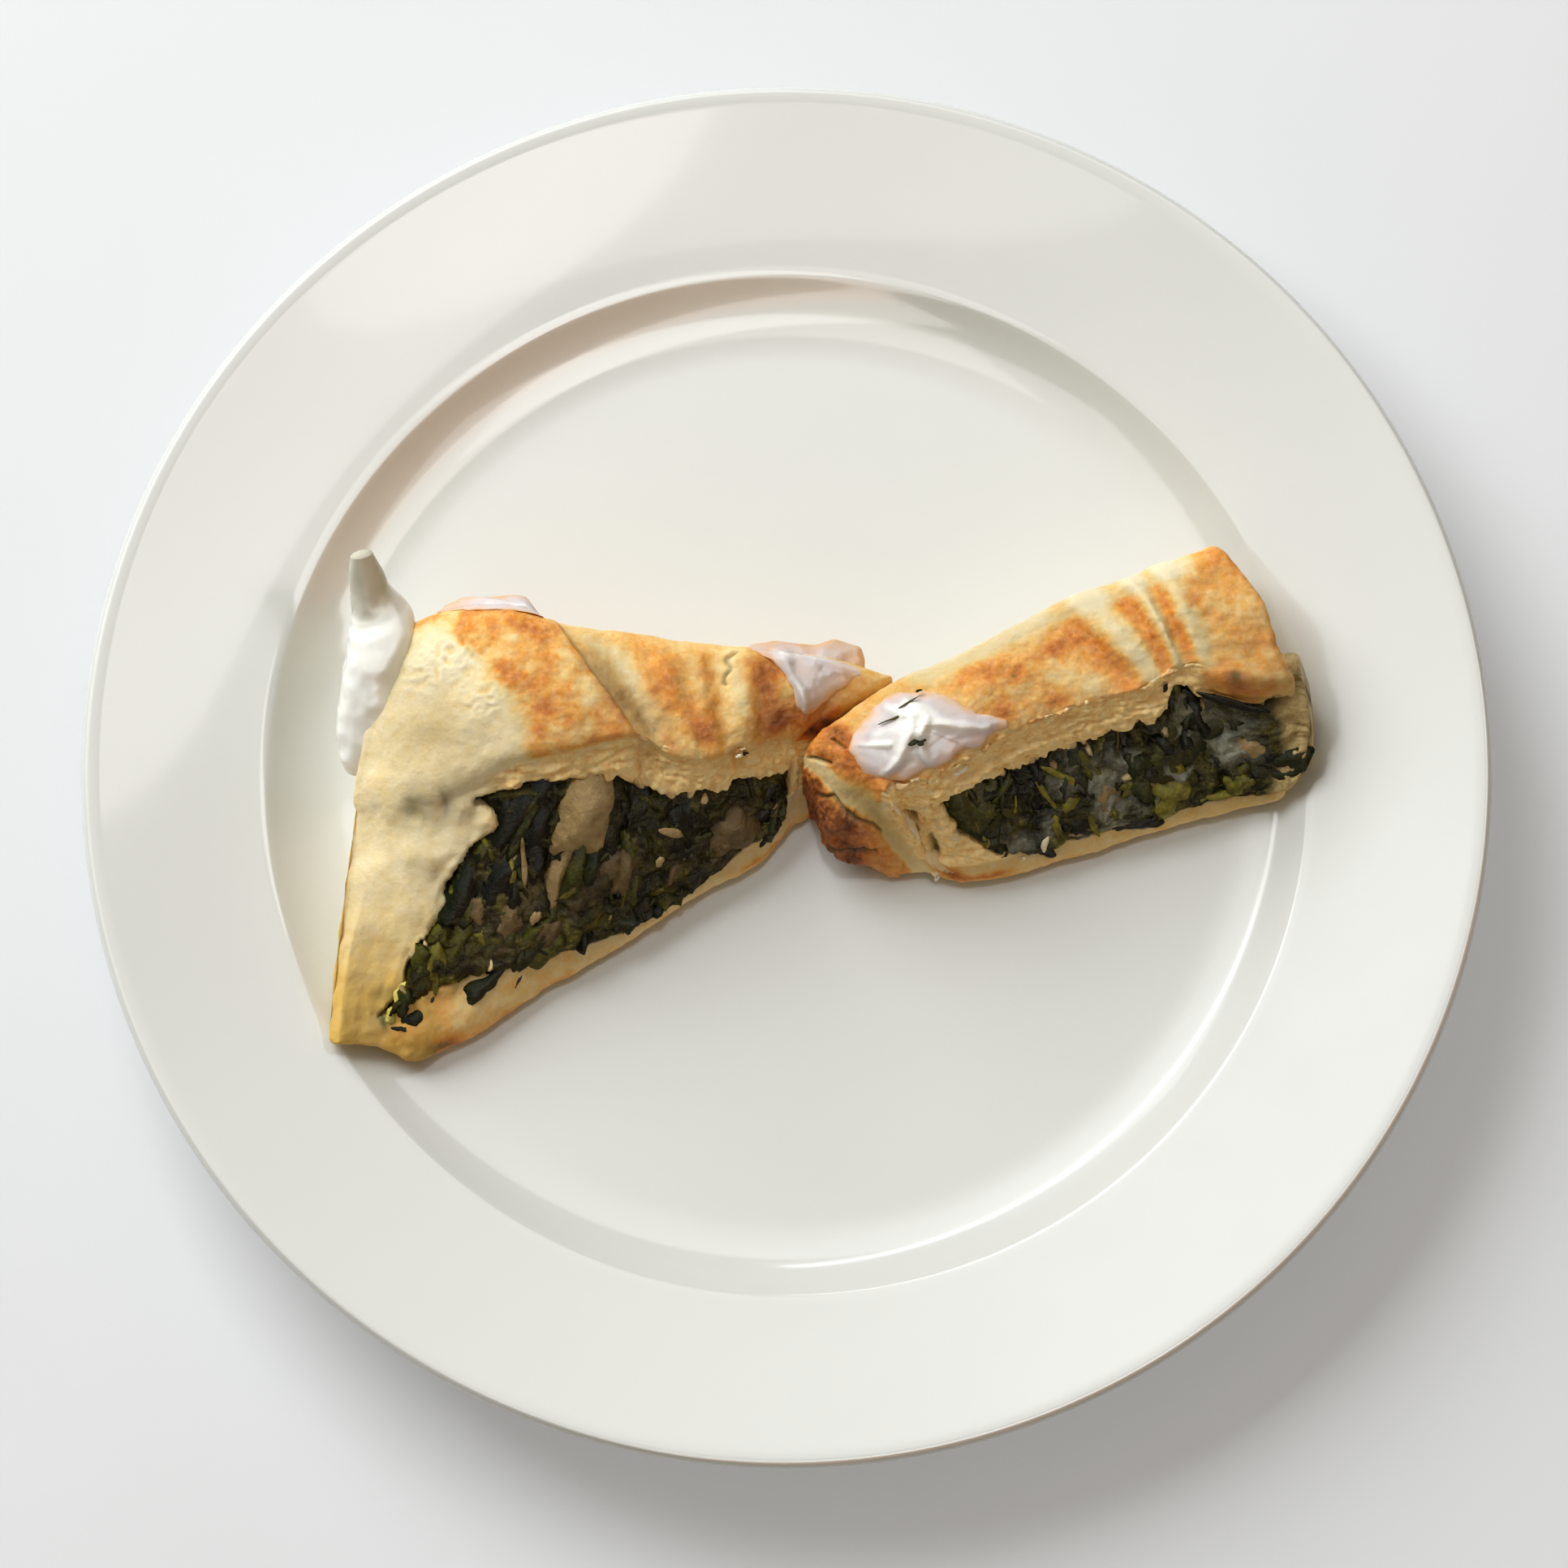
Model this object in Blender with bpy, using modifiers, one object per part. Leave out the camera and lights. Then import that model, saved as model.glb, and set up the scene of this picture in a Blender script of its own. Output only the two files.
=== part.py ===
"""Two broken-open pieces of spanakopita with yoghurt sauce, served on a white rim plate.

Lengths in the named values are millimetres; MM turns them into Blender's metres.
The origin is under the middle of the plate's foot, +Z is up, and the open sides of the
two pieces face -Y. Each piece is described by sections that run from its back edge over
the top crust to the broken edge of that crust, and then down the open side to the foot.
A place on a piece is (u, v) on the top crust and (u, w) on the open side: u runs from
the piece's closed end to its other end, v from the back edge to the broken edge, and w
from the broken edge down to the foot, each from 0 to 1.
"""

import math

import bmesh
import bpy
import numpy as np
from mathutils import Matrix, Vector

MM = 0.001

# ---------------------------------------------------------------- driving dimensions (mm)
PLATE_RADIUS = 135.0
RIM_HEIGHT = 26.0
FLOOR_HEIGHT = 6.0
SHOULDER_START = 84.5  # radius where the flat floor ends
SHOULDER_END = 103.5  # radius where the rim begins
SHOULDER_RISE = 7.5
RIM_CURVE = 1.15  # over 1, the rim steepens outwards
PLATE_WALL = 4.2
LIP_ROUND = 2.0  # width and height of the rounding at the plate's edge
FOOT_RADIUS = 80.0
FOOT_WIDTH = 5.0
FOOT_ROUND = 1.2
UNDERSIDE_HEIGHT = 1.8
PLATE_SIDES = 64

GAP = 0.35  # clearance kept between touching solids
SPREAD_GAP = 0.9  # growth of the piece that cuts the sauce, which keeps the gap on slopes
REST_GAP = 0.45  # clearance of a pastry's underside over the plate
SHOULDER_GAP = 0.5  # more clearance where the plate bends over into its rim
SHOULDER_GAP_FROM = 90.0  # radius where the extra clearance begins
SHOULDER_GAP_WIDTH = 6.0
START_MARGIN = 1.0  # clearance along the piece where a filling starts
END_MARGIN = 1.4  # and at the left piece's slanting tip
CEILING_SHARES = (0.0, 0.35, 0.7)  # where the filling's lines run under the top crust
TOP_CRUST = 7.0
CEILING_RISE = 4.0  # how much higher a filling may stand inside than at its window
BACK_CRUST = 6.5
BASE_CRUST = 3.6
FOOT_LIP = 3.0  # thickness of the base crust where it shows at the foot of the open side
OPEN_REACH = 4.0  # how far a cavity cutter sticks out of the open side
FILLING_SWELL = 0.8  # how far the filling stands proud of the open side
LUMP_PROUD = 2.6  # how far a feta lump stands out of the filling
LEFT_CROWN = 2.2  # how much the top crust arches between its back and its broken edge
RIGHT_CROWN = 1.8
BACK_BULGE = 1.3  # swell of the back wall half way up
BULGE_FROM = 0.25  # where along a piece the back wall begins to swell
BULGE_FADE = 0.3
BACK_ROLL = 4.2  # how far the top crust rolls down at its back edge
ROLL_SHARE = 0.16  # and over what share of its width
LEAST_FILLING = 0.6  # thickness of the filling where it runs out
LEFT_PINCH = 3.4  # how far the left piece's side wall draws in above its corner
FLAP_STEP = 2.6  # how far the left crust drops past its big flap
FLAP_RETURN = 1.2  # and how far it comes up again
FAR_CRUST_SWELL = 2.0  # how far the right piece's far end swells at its crust
FAR_FACE_SWELL = 4.5  # and below it
CLOSED_END_SWELL = 3.2
LOBE_SWELL = 1.6
SAUCE_EDGE = 1.0  # height of the sauce's rim over the crust
SAUCE_ROOT = 3.0  # how deep a dollop starts under the crust before it is cut to fit

# Sections of the left, triangular piece, evenly spaced from its closed left end to its tip:
# back edge (x, y, z), broken crust edge (x, y, z), foot of the open side (x, y).
LEFT_SECTIONS = (
    (-74.0, 25.5, 33.0, -83.6, -6.0, 24.0, -87.1, -52.7),
    (-68.0, 28.0, 37.5, -76.0, -6.8, 31.0, -79.0, -52.3),
    (-61.5, 29.0, 39.5, -66.0, -6.5, 36.5, -71.5, -54.6),
    (-55.0, 29.0, 40.5, -54.0, -2.2, 40.0, -62.0, -50.8),
    (-49.0, 28.0, 40.5, -40.0, 0.6, 41.0, -50.0, -42.6),
    (-44.5, 26.2, 40.0, -28.7, 3.2, 40.5, -39.0, -36.4),
    (-33.0, 25.2, 37.5, -21.5, 0.2, 37.0, -30.0, -31.2),
    (-20.0, 23.4, 36.0, -14.5, 0.0, 34.5, -21.5, -24.8),
    (-7.0, 22.2, 34.0, -7.0, 2.8, 32.0, -13.0, -20.0),
    (8.0, 21.0, 30.0, -1.0, 4.6, 29.0, -4.5, -14.8),
    (21.5, 18.0, 25.0, 2.2, 5.2, 26.5, 2.8, -6.2),
)
# The right, bar-shaped piece in the same way: the first three make its sloping closed end.
RIGHT_SECTIONS = (
    (4.6, -5.5, 12.5, 18.0, -17.6, 11.0, 21.0, -17.6),
    (3.4, -0.5, 23.0, 16.6, -12.0, 22.5, 23.5, -17.4),
    (4.2, 4.0, 30.0, 18.4, -5.6, 31.0, 27.5, -17.2),
    (10.2, 9.2, 32.0, 25.0, -4.4, 32.0, 33.5, -19.0),
    (20.5, 15.6, 33.0, 33.5, -0.8, 32.5, 40.0, -18.7),
    (31.0, 20.4, 33.0, 41.5, 4.4, 33.0, 47.5, -16.9),
    (41.5, 25.6, 33.5, 50.0, 8.0, 33.0, 56.0, -14.6),
    (52.0, 31.2, 34.0, 59.0, 11.2, 33.5, 65.0, -11.5),
    (63.0, 35.2, 34.5, 68.5, 13.8, 34.0, 75.0, -8.3),
    (73.0, 38.8, 35.0, 78.0, 18.4, 34.0, 85.5, -5.6),
    (83.2, 43.0, 35.0, 98.6, 17.2, 31.0, 96.0, -3.6),
)

# Where the rows of each solid run across it: close together at its folds and pleats.
LEFT_ROWS = (
    0.0, 0.06, 0.13, 0.20, 0.27, 0.34, 0.41, 0.46, 0.495, 0.515, 0.55, 0.59,
    0.63, 0.66, 0.70, 0.725, 0.745, 0.765, 0.80, 0.84, 0.88, 0.92, 0.96, 1.0,
)
RIGHT_ROWS = (
    0.0, 0.05, 0.10, 0.15, 0.20, 0.25, 0.30, 0.36, 0.42, 0.48, 0.54, 0.60,
    0.655, 0.69, 0.72, 0.755, 0.785, 0.81, 0.845, 0.875, 0.905, 0.935, 0.965, 1.0,
)
CRUST_COLUMNS = (0.0, 0.04, 0.12, 0.35, 0.65, 0.88, 1.0)  # and across the crust, from its back
SLANT_STEPS = 20  # repeats that settle a slanting row's places
PLEAT_HALF_WIDTH = 0.035
LEFT_PLEATS = ((0.66, 0.9), (0.745, -1.1), (0.80, 0.7))  # place along the piece, height
RIGHT_PLEATS = ((0.69, -1.2), (0.72, 0.8), (0.785, -1.3), (0.81, 0.9), (0.845, -1.2), (0.875, 0.9))
RIGHT_PLEAT_SLANT = 0.09  # how much further along a pleat lies at the broken edge than at the back

# The open side from the broken edge (0, 0) to the foot (1, 1): shares of the way out and down.
FACE_OUT = (0.0, 0.03, 0.10, 0.30, 0.52, 0.72, 0.88, 0.96, 1.0)
FACE_DOWN = (0.0, 0.09, 0.22, 0.42, 0.60, 0.76, 0.88, 0.94, 1.0)

# The window in the open side where the filling shows. Top and base are the w at which the
# top crust ends and the base crust begins, evenly spaced along the piece. Start is the u
# at which the filling begins, evenly spaced down the window.
LEFT_WINDOW_TOP = (0.20, 0.20, 0.20, 0.21, 0.24, 0.29, 0.29, 0.30, 0.31, 0.31, 0.30)
LEFT_WINDOW_BASE = (0.80, 0.78, 0.67, 0.66, 0.71, 0.75, 0.81, 0.84, 0.85, 0.85, 0.84)
LEFT_START = (0.25, 0.28, 0.30, 0.25, 0.23, 0.22, 0.17, 0.15, 0.11)
LEFT_END = 0.955
RIGHT_WINDOW_TOP = (0.32, 0.32, 0.32, 0.31, 0.29, 0.31, 0.31, 0.32, 0.30, 0.30, 0.24)
RIGHT_WINDOW_BASE = (0.62, 0.62, 0.62, 0.62, 0.66, 0.80, 0.77, 0.83, 0.84, 0.86, 0.90)
RIGHT_START = (0.33, 0.34, 0.36, 0.43)
RIGHT_END = 1.0
LOBE_PLACE = 0.95  # where along the right piece the crust hangs over the filling

# Feta lumps in the left filling: place (u, w), then length along the piece, length down
# the open side and depth into it, in millimetres.
FETA_LUMPS = (
    (0.43, 0.345, 15.0, 13.0, 10.0),
    (0.405, 0.49, 5.6, 9.5, 7.0),
    (0.81, 0.60, 14.0, 11.0, 8.0),
)

# Sauce on the crust: outline (u, v), peak (u, v), rise and extra height at the peak.
RIGHT_DOLLOP = (
    ((0.22, 0.55), (0.26, 0.33), (0.36, 0.14), (0.41, 0.22), (0.45, 0.38), (0.47, 0.64),
     (0.52, 0.92), (0.44, 0.94), (0.41, 0.90), (0.33, 0.93), (0.27, 0.92), (0.21, 0.88)),
    (0.37, 0.52), 2.0, 2.6,
)
TIP_DOLLOP = (
    ((0.80, 0.00), (0.84, -0.12), (0.87, -0.12), (0.90, -0.24), (0.93, -0.16), (0.96, 0.10),
     (0.95, 0.40), (0.94, 0.70), (0.905, 0.70), (0.87, 0.42), (0.84, 0.20)),
    (0.885, 0.06), 1.8, 1.2,
)
BACK_STRIP = (
    ((0.12, 0.01), (0.18, -0.05), (0.28, -0.05), (0.36, -0.09), (0.42, -0.09), (0.46, 0.02),
     (0.38, 0.05), (0.24, 0.05)),
    (0.39, -0.02), 1.2, 1.2,
)
# Sauce on the left piece's side wall: rings as centre (x, y, z), half width across the
# wall and half height, from the thin front end to the tip of the drawn-up peak.
SIDE_SAUCE = (
    (-83.6, 1.5, 17.0, 1.2, 3.0),
    (-83.2, 6.0, 18.0, 2.8, 5.5),
    (-82.0, 13.0, 20.0, 4.0, 8.5),
    (-79.8, 20.0, 24.0, 5.2, 10.0),
    (-78.2, 25.5, 29.0, 5.6, 8.5),
    (-78.6, 28.5, 34.0, 4.9, 5.5),
    (-79.4, 31.5, 38.5, 3.9, 3.4),
    (-80.2, 34.5, 42.5, 3.1, 2.2),
    (-80.8, 37.0, 45.5, 2.1, 1.3),
)

MATERIALS = {
    "porcelain": ((0.86, 0.86, 0.84), 0.12),
    "pastry": ((0.80, 0.56, 0.28), 0.55),
    "spinach_filling": ((0.06, 0.09, 0.03), 0.45),
    "feta": ((0.74, 0.68, 0.52), 0.5),
    "yoghurt": ((0.88, 0.86, 0.84), 0.25),
}


# ---------------------------------------------------------------- curves and numbers
def smooth_step(x):
    """0 below 0, 1 above 1, and a smooth rise between."""
    x = np.clip(x, 0.0, 1.0)
    return x * x * (3.0 - 2.0 * x)


def hump(x, centre, half_width):
    """A smooth bump of height 1 at centre that falls to 0 at half_width on each side."""
    reach = np.clip(np.abs(x - centre) / half_width, 0.0, 1.0)
    return 0.5 + 0.5 * np.cos(np.pi * reach)


def spline(before, start, end, after, f):
    """Catmull-Rom curve between start and end at share f."""
    slope = end - before
    bend = 2 * before - 5 * start + 4 * end - after
    return start + 0.5 * f * (slope + f * (bend + f * (3 * (start - end) + after - before)))


def smooth_through(rows, t):
    """Smooth curve through evenly spaced rows, read at t from 0 to 1."""
    rows = np.asarray(rows, float)
    spans = len(rows) - 1
    place = np.clip(t, 0.0, 1.0) * spans
    index = np.minimum(place.astype(int), spans - 1)
    share = (place - index).reshape(place.shape + (1,) * (rows.ndim - 1))
    padded = np.concatenate([[2 * rows[0] - rows[1]], rows, [2 * rows[-1] - rows[-2]]])
    return spline(*(padded[index + k] for k in range(4)), share)


def smooth_loop(rows, count):
    """Smooth closed curve through the rows, as count points."""
    rows = np.asarray(rows, float)
    place = np.arange(count) * len(rows) / count
    index = place.astype(int)
    corners = (rows[(index + k) % len(rows)] for k in (-1, 0, 1, 2))
    return spline(*corners, (place - index)[:, None])


# ---------------------------------------------------------------- making objects
def clear_scene():
    for old in list(bpy.data.objects):
        bpy.data.objects.remove(old)


def new_collection(name):
    made = bpy.data.collections.new(name)
    bpy.context.scene.collection.children.link(made)
    return made


def material(name):
    """Principled material with the colour and roughness listed for the name."""
    found = bpy.data.materials.get(name)
    if found:
        return found
    colour, roughness = MATERIALS[name]
    made = bpy.data.materials.new(name)
    made.use_nodes = True
    shader = made.node_tree.nodes["Principled BSDF"]
    shader.inputs["Base Color"].default_value = (*colour, 1.0)
    shader.inputs["Roughness"].default_value = roughness
    shader.inputs["Metallic"].default_value = 0.0
    made.diffuse_color = (*colour, 1.0)
    return made


def solid(name, shape, look, group):
    """Object with outward faces from a shape of points in millimetres and faces."""
    points, faces = shape
    mesh = bpy.data.meshes.new(name)
    mesh.from_pydata((np.asarray(points, float) * MM).tolist(), [], faces)
    shell = bmesh.new()
    shell.from_mesh(mesh)
    bmesh.ops.recalc_face_normals(shell, faces=shell.faces)
    shell.to_mesh(mesh)
    shell.free()
    mesh.materials.append(material(look))
    made = bpy.data.objects.new(name, mesh)
    group.objects.link(made)
    return made


def cutter(name, shape, look, group):
    """Hidden solid that is only taken away from others."""
    made = solid(name, shape, look, group)
    made.hide_render = True
    made.display_type = "WIRE"
    return made


def cut(target, tool):
    """Takes the tool's solid away from the target.

    Both are closed, and the exact solver leaves slivers where their walls run close together."""
    modifier = target.modifiers.new("less_" + tool.name, "BOOLEAN")
    modifier.operation = "DIFFERENCE"
    modifier.solver = "MANIFOLD"
    modifier.object = tool


def block_between(upper, lower, waist=None):
    """Closed block between two grids of points of the same shape.

    The side walls follow the grids' border. A waist grid, if given, adds a ring of
    points half way down them. Every square is split the same way, so that a block and
    its cutter, made from like grids, keep an even gap."""
    rows, columns = upper.shape[:2]
    count = rows * columns
    index = np.arange(count).reshape(rows, columns)
    corners = [index[:-1, :-1], index[:-1, 1:], index[1:, 1:], index[1:, :-1]]
    top = np.stack([corner.ravel() for corner in corners], axis=1)
    border = np.concatenate([index[0, :-1], index[:-1, -1], index[-1, :0:-1], index[:0:-1, 0]])
    points = [upper.reshape(-1, 3), lower.reshape(-1, 3)]
    rings = [border, border + count]
    if waist is not None:
        points.append(waist.reshape(-1, 3)[border])
        rings.insert(1, 2 * count + np.arange(len(border)))
    walls = [
        np.stack([above, below, np.roll(below, -1), np.roll(above, -1)], axis=1)
        for above, below in zip(rings, rings[1:])
    ]
    quads = np.concatenate([top, top + count, *walls])
    triangles = np.concatenate([quads[:, [0, 1, 2]], quads[:, [0, 2, 3]]])
    return np.vstack(points), triangles.tolist()


def rings_to_block(rings):
    """Closed solid from rings of points, one beyond another, with a fan at each end."""
    rings = np.asarray(rings, float)
    count, sides = rings.shape[:2]
    points = np.vstack([rings.reshape(-1, 3), rings[0].mean(axis=0), rings[-1].mean(axis=0)])
    index = np.arange(count * sides).reshape(count, sides)
    turned = np.roll(index, -1, axis=1)
    walls = np.stack([index[:-1], turned[:-1], turned[1:], index[1:]], axis=-1).reshape(-1, 4)
    ends = [
        np.stack([index[ring], turned[ring], np.full(sides, count * sides + end)], axis=1)
        for end, ring in enumerate((0, -1))
    ]
    return points, walls.tolist() + ends[0].tolist() + ends[1].tolist()


# ---------------------------------------------------------------- plate
def plate_top(radius):
    """Height of the plate's upper surface: flat floor, S-shaped shoulder and flared rim."""
    shoulder = smooth_step((radius - SHOULDER_START) / (SHOULDER_END - SHOULDER_START))
    rim = np.clip((radius - SHOULDER_END) / (PLATE_RADIUS - SHOULDER_END), 0.0, 1.0)
    rim_rise = RIM_HEIGHT - FLOOR_HEIGHT - SHOULDER_RISE
    return FLOOR_HEIGHT + SHOULDER_RISE * shoulder + rim_rise * rim**RIM_CURVE


def rest_height(x, y):
    """Height of a pastry's underside over a point of the plate."""
    radius = np.hypot(x, y)
    extra = smooth_step((radius - SHOULDER_GAP_FROM) / SHOULDER_GAP_WIDTH)
    return plate_top(radius) + REST_GAP + SHOULDER_GAP * extra


def plate_profile():
    """Radius and height along the plate's wall: out over the top, and back underneath."""
    shoulder = np.linspace(SHOULDER_START, SHOULDER_END, 7)
    rim_middle = (2.0 * SHOULDER_END + PLATE_RADIUS) / 3.0
    radii = [0.0, *shoulder, rim_middle, PLATE_RADIUS - LIP_ROUND]
    top = [(r, plate_top(r)) for r in radii]
    lip_height = plate_top(PLATE_RADIUS) - 0.6 * LIP_ROUND
    lip = [(PLATE_RADIUS, lip_height), (PLATE_RADIUS - 0.4 * LIP_ROUND, lip_height - LIP_ROUND)]
    under_radii = (PLATE_RADIUS - 2.0 * LIP_ROUND, *shoulder[5:1:-2])
    under = [(r, plate_top(r) - PLATE_WALL) for r in under_radii]
    foot_out = FOOT_RADIUS + FOOT_WIDTH / 2
    foot_in = FOOT_RADIUS - FOOT_WIDTH / 2
    foot = [
        (foot_out + FOOT_ROUND, FOOT_ROUND),
        (foot_out - FOOT_ROUND / 2, 0.0),
        (foot_in + FOOT_ROUND / 2, 0.0),
        (foot_in - FOOT_ROUND, UNDERSIDE_HEIGHT),
        (0.0, UNDERSIDE_HEIGHT),
    ]
    return top + lip + under + foot


def make_plate(group):
    """Plate turned from its profile with a Screw modifier."""
    points = [(r * MM, 0.0, z * MM) for r, z in plate_profile()]
    mesh = bpy.data.meshes.new("plate")
    mesh.from_pydata(points, [(i, i + 1) for i in range(len(points) - 1)], [])
    mesh.materials.append(material("porcelain"))
    plate = bpy.data.objects.new("plate", mesh)
    group.objects.link(plate)
    turn = plate.modifiers.new("turn", "SCREW")
    turn.axis = "Z"
    turn.steps = PLATE_SIDES
    turn.render_steps = PLATE_SIDES
    turn.use_merge_vertices = True
    turn.merge_threshold = 0.0001
    turn.use_smooth_shade = True
    return plate


# ---------------------------------------------------------------- relief of each piece
def pleats(place, heights):
    """Sum of the pleats' humps and hollows at a place along the piece."""
    return sum(height * hump(place, middle, PLEAT_HALF_WIDTH) for middle, height in heights)


def across_crust(v):
    """1 over most of the crust, falling to 0 at its back and broken edges."""
    return np.sqrt(np.sin(np.pi * np.clip(v, 0.0, 1.0)))


def left_relief(u, v):
    """Height added to the left crust: the big flap's step, and the pleats beyond it."""
    flap = FLAP_RETURN * smooth_step((u - 0.55) / 0.08) - FLAP_STEP * smooth_step((u - 0.495) / 0.02)
    swell = 1.5 * hump(u, 0.33, 0.25)
    return flap + (pleats(u, LEFT_PLEATS) + swell) * across_crust(v)


def left_shift(u, s):
    """Sideways step: the left piece's side wall draws in above its corner."""
    pinch = LEFT_PINCH * hump(s, 1.34, 0.3) * (1.0 - smooth_step(u / 0.16))
    return np.stack([pinch, 0.0 * pinch, 0.0 * pinch], axis=-1)


def right_relief(u, v):
    """Height added to the right crust: three slanting pleats towards its far end."""
    swell = 1.2 * hump(u, 0.45, 0.25)
    return (pleats(u - right_slant(u, v), RIGHT_PLEATS) + swell) * across_crust(v)


def right_slant(u, v):
    """How far along the right piece a pleat has moved at v, where it passes u."""
    return RIGHT_PLEAT_SLANT * hump(u, 0.80, 0.2) * np.clip(v, 0.0, 1.0)


def right_shift(u, s):
    """Sideways step: the right piece's round ends, and the lobe that hangs over at the far one."""
    far_end = FAR_CRUST_SWELL * hump(s, 0.5, 0.5) + FAR_FACE_SWELL * hump(s, 1.5, 0.5)
    far_end = far_end * smooth_step((u - 0.93) / 0.07)
    closed_end = CLOSED_END_SWELL * hump(s, 0.55, 0.55) * (1.0 - smooth_step(u / 0.22))
    lobe = LOBE_SWELL * hump(u, LOBE_PLACE, 0.07) * hump(s, 1.16, 0.2)
    return np.stack([far_end - closed_end, -lobe - closed_end, lobe], axis=-1)


def right_lobe_drop(u):
    """How much lower the crust ends at the lobe, and higher at the notch beside it."""
    return 0.06 * hump(u, LOBE_PLACE, 0.05) - 0.13 * hump(u, 0.86, 0.04)


class Piece:
    """One piece of pie: its sections, relief, window and the roundness of its top."""

    def __init__(self, sections, rows, relief, shift, window, start, end, crown, slant=None, lobe=None):
        self.sections = sections
        self.rows = rows
        self.relief = relief
        self.shift = shift
        self.window = window
        self.start = start
        self.end = end
        self.crown = crown
        self.slant = slant
        self.lobe = lobe

    def guides(self, u):
        """Back edge, broken crust edge and foot of the open side at u."""
        row = smooth_through(self.sections, np.asarray(u, float))
        back, edge, foot = row[..., 0:3], row[..., 3:6], row[..., 6:8]
        foot_height = rest_height(foot[..., 0], foot[..., 1]) + FOOT_LIP
        return back, edge, np.concatenate([foot, foot_height[..., None]], axis=-1)

    def crust(self, u, v):
        """Point of the top crust: it arches between its edges and rolls over at the back."""
        back, edge, _ = self.guides(u)
        point = back + (edge - back) * v[..., None]
        roll = 1.0 - np.clip(v / ROLL_SHARE, 0.0, 1.0)
        fall = BACK_ROLL * (1.0 - np.sqrt(1.0 - roll**2))
        arch = self.crown * np.sin(np.pi * np.clip(v, 0.0, 1.0))
        point[..., 2] += arch - fall + self.relief(u, v)
        return point + self.shift(u, v)

    def face(self, u, w):
        """Point of the open side."""
        edge = self.crust(u, np.ones_like(w)) - self.shift(u, np.ones_like(w))
        foot = self.guides(u)[2]
        knots = np.linspace(0.0, 1.0, len(FACE_OUT))
        out = np.interp(w, knots, FACE_OUT)
        down = np.interp(w, knots, FACE_DOWN)
        return edge + (foot - edge) * np.stack([out, out, down], axis=-1) + self.shift(u, 1.0 + w)

    def window_at(self, u, share):
        """The w at a share of the way down the window in the open side."""
        top = smooth_through(self.window[0], u)
        base = smooth_through(self.window[1], u)
        if self.lobe:
            top = top + self.lobe(u)
        return top + (base - top) * share

    def surface(self, u, s):
        """Upper surface: s from 0 to 1 over the crust, and from 1 to 2 down the open side."""
        crust = self.crust(u, np.clip(s, 0.0, 1.0))
        face = self.face(u, np.clip(s - 1.0, 0.0, 1.0))
        return np.where((s <= 1.0)[..., None], crust, face)

    def outer_grids(self):
        """Upper and lower grids of the whole piece, with a row at each fold and pleat."""
        down_face = np.linspace(1.0, 2.0, 9)[1:]
        rows, s = np.meshgrid(self.rows, [*CRUST_COLUMNS, *down_face], indexing="ij")
        u = rows
        if self.slant:
            for _ in range(SLANT_STEPS):
                u = rows + self.slant(u, s)
        upper = self.surface(u, s)
        lower = upper.copy()
        lower[..., 2] = rest_height(upper[..., 0], upper[..., 1])
        return upper, lower

    def outer_block(self):
        """Whole piece as a closed block on the plate, its back wall swelling half way up."""
        upper, lower = self.outer_grids()
        waist = 0.5 * (upper + lower)
        waist[:, 0, 1] += BACK_BULGE * smooth_step((np.array(self.rows) - BULGE_FROM) / BULGE_FADE)
        return block_between(upper, lower, waist)

    def spread_block(self):
        """The whole piece made larger by a gap, to cut the sauce that lies on it."""
        upper, lower = (padded(grid, (SPREAD_GAP,) * 4) for grid in self.outer_grids())
        upper[..., 2] += SPREAD_GAP
        lower[..., 2] -= SPREAD_GAP
        waist = 0.5 * (upper + lower)
        waist[:, 0, 1] += BACK_BULGE
        return block_between(upper, lower, waist)

    def filling_grids(self, columns=18):
        """Upper and lower grids of the filling, from under the back crust to its window's foot."""
        along = np.linspace(0.0, 1.0, columns)
        upper = [self.ceiling_line(along, share) for share in CEILING_SHARES]
        upper += [self.window_line(along, share) for share in np.linspace(0.0, 1.0, 9)]
        upper = np.stack(upper, axis=1)
        lower = upper.copy()
        floor = rest_height(upper[..., 0], upper[..., 1]) + BASE_CRUST
        lower[..., 2] = np.minimum(floor, upper[..., 2] - LEAST_FILLING)
        return upper, lower

    def filling_block(self):
        """Filling as a closed block that runs back from the window through the piece."""
        return block_between(*self.filling_grids())

    def cavity_block(self):
        """Cutter for the filling's room: wider by a gap, and open at the window and the end."""
        past_end = END_MARGIN if self.end < 1.0 else OPEN_REACH
        upper, lower = (
            padded(grid, (START_MARGIN, past_end, 2.0 * GAP, 2.0 * GAP)) for grid in self.filling_grids()
        )
        hidden = len(CEILING_SHARES) + 2
        upper[:, :hidden, 2] += 2.0 * GAP
        upper[:, hidden:, 2] += OPEN_REACH
        lower[..., 2] -= GAP
        return block_between(upper, lower)

    def line_places(self, along, share):
        """The u and w of a line of the filling at a share of the way down the window."""
        start = smooth_through(self.start, np.asarray(share))
        u = start + (self.end - start) * along
        return u, self.window_at(u, share)

    def window_line(self, along, share):
        """Line of the filling across the window, where it swells a little."""
        line = self.face(*self.line_places(along, share))
        line[:, 2] += FILLING_SWELL * np.sin(np.pi * share)
        return line

    def ceiling_line(self, along, share):
        """Line under the top crust at a share of the way from the back wall to the window."""
        u, w = self.line_places(along, 0.0)
        back, edge, _ = self.guides(u)
        first = BACK_CRUST / np.linalg.norm((edge - back)[:, :2], axis=1)
        line = self.crust(u, first + (1.0 - first) * share)
        highest = self.face(u, w)[:, 2] + CEILING_RISE
        line[:, 2] = np.minimum(line[:, 2] - TOP_CRUST, highest)
        return line


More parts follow.
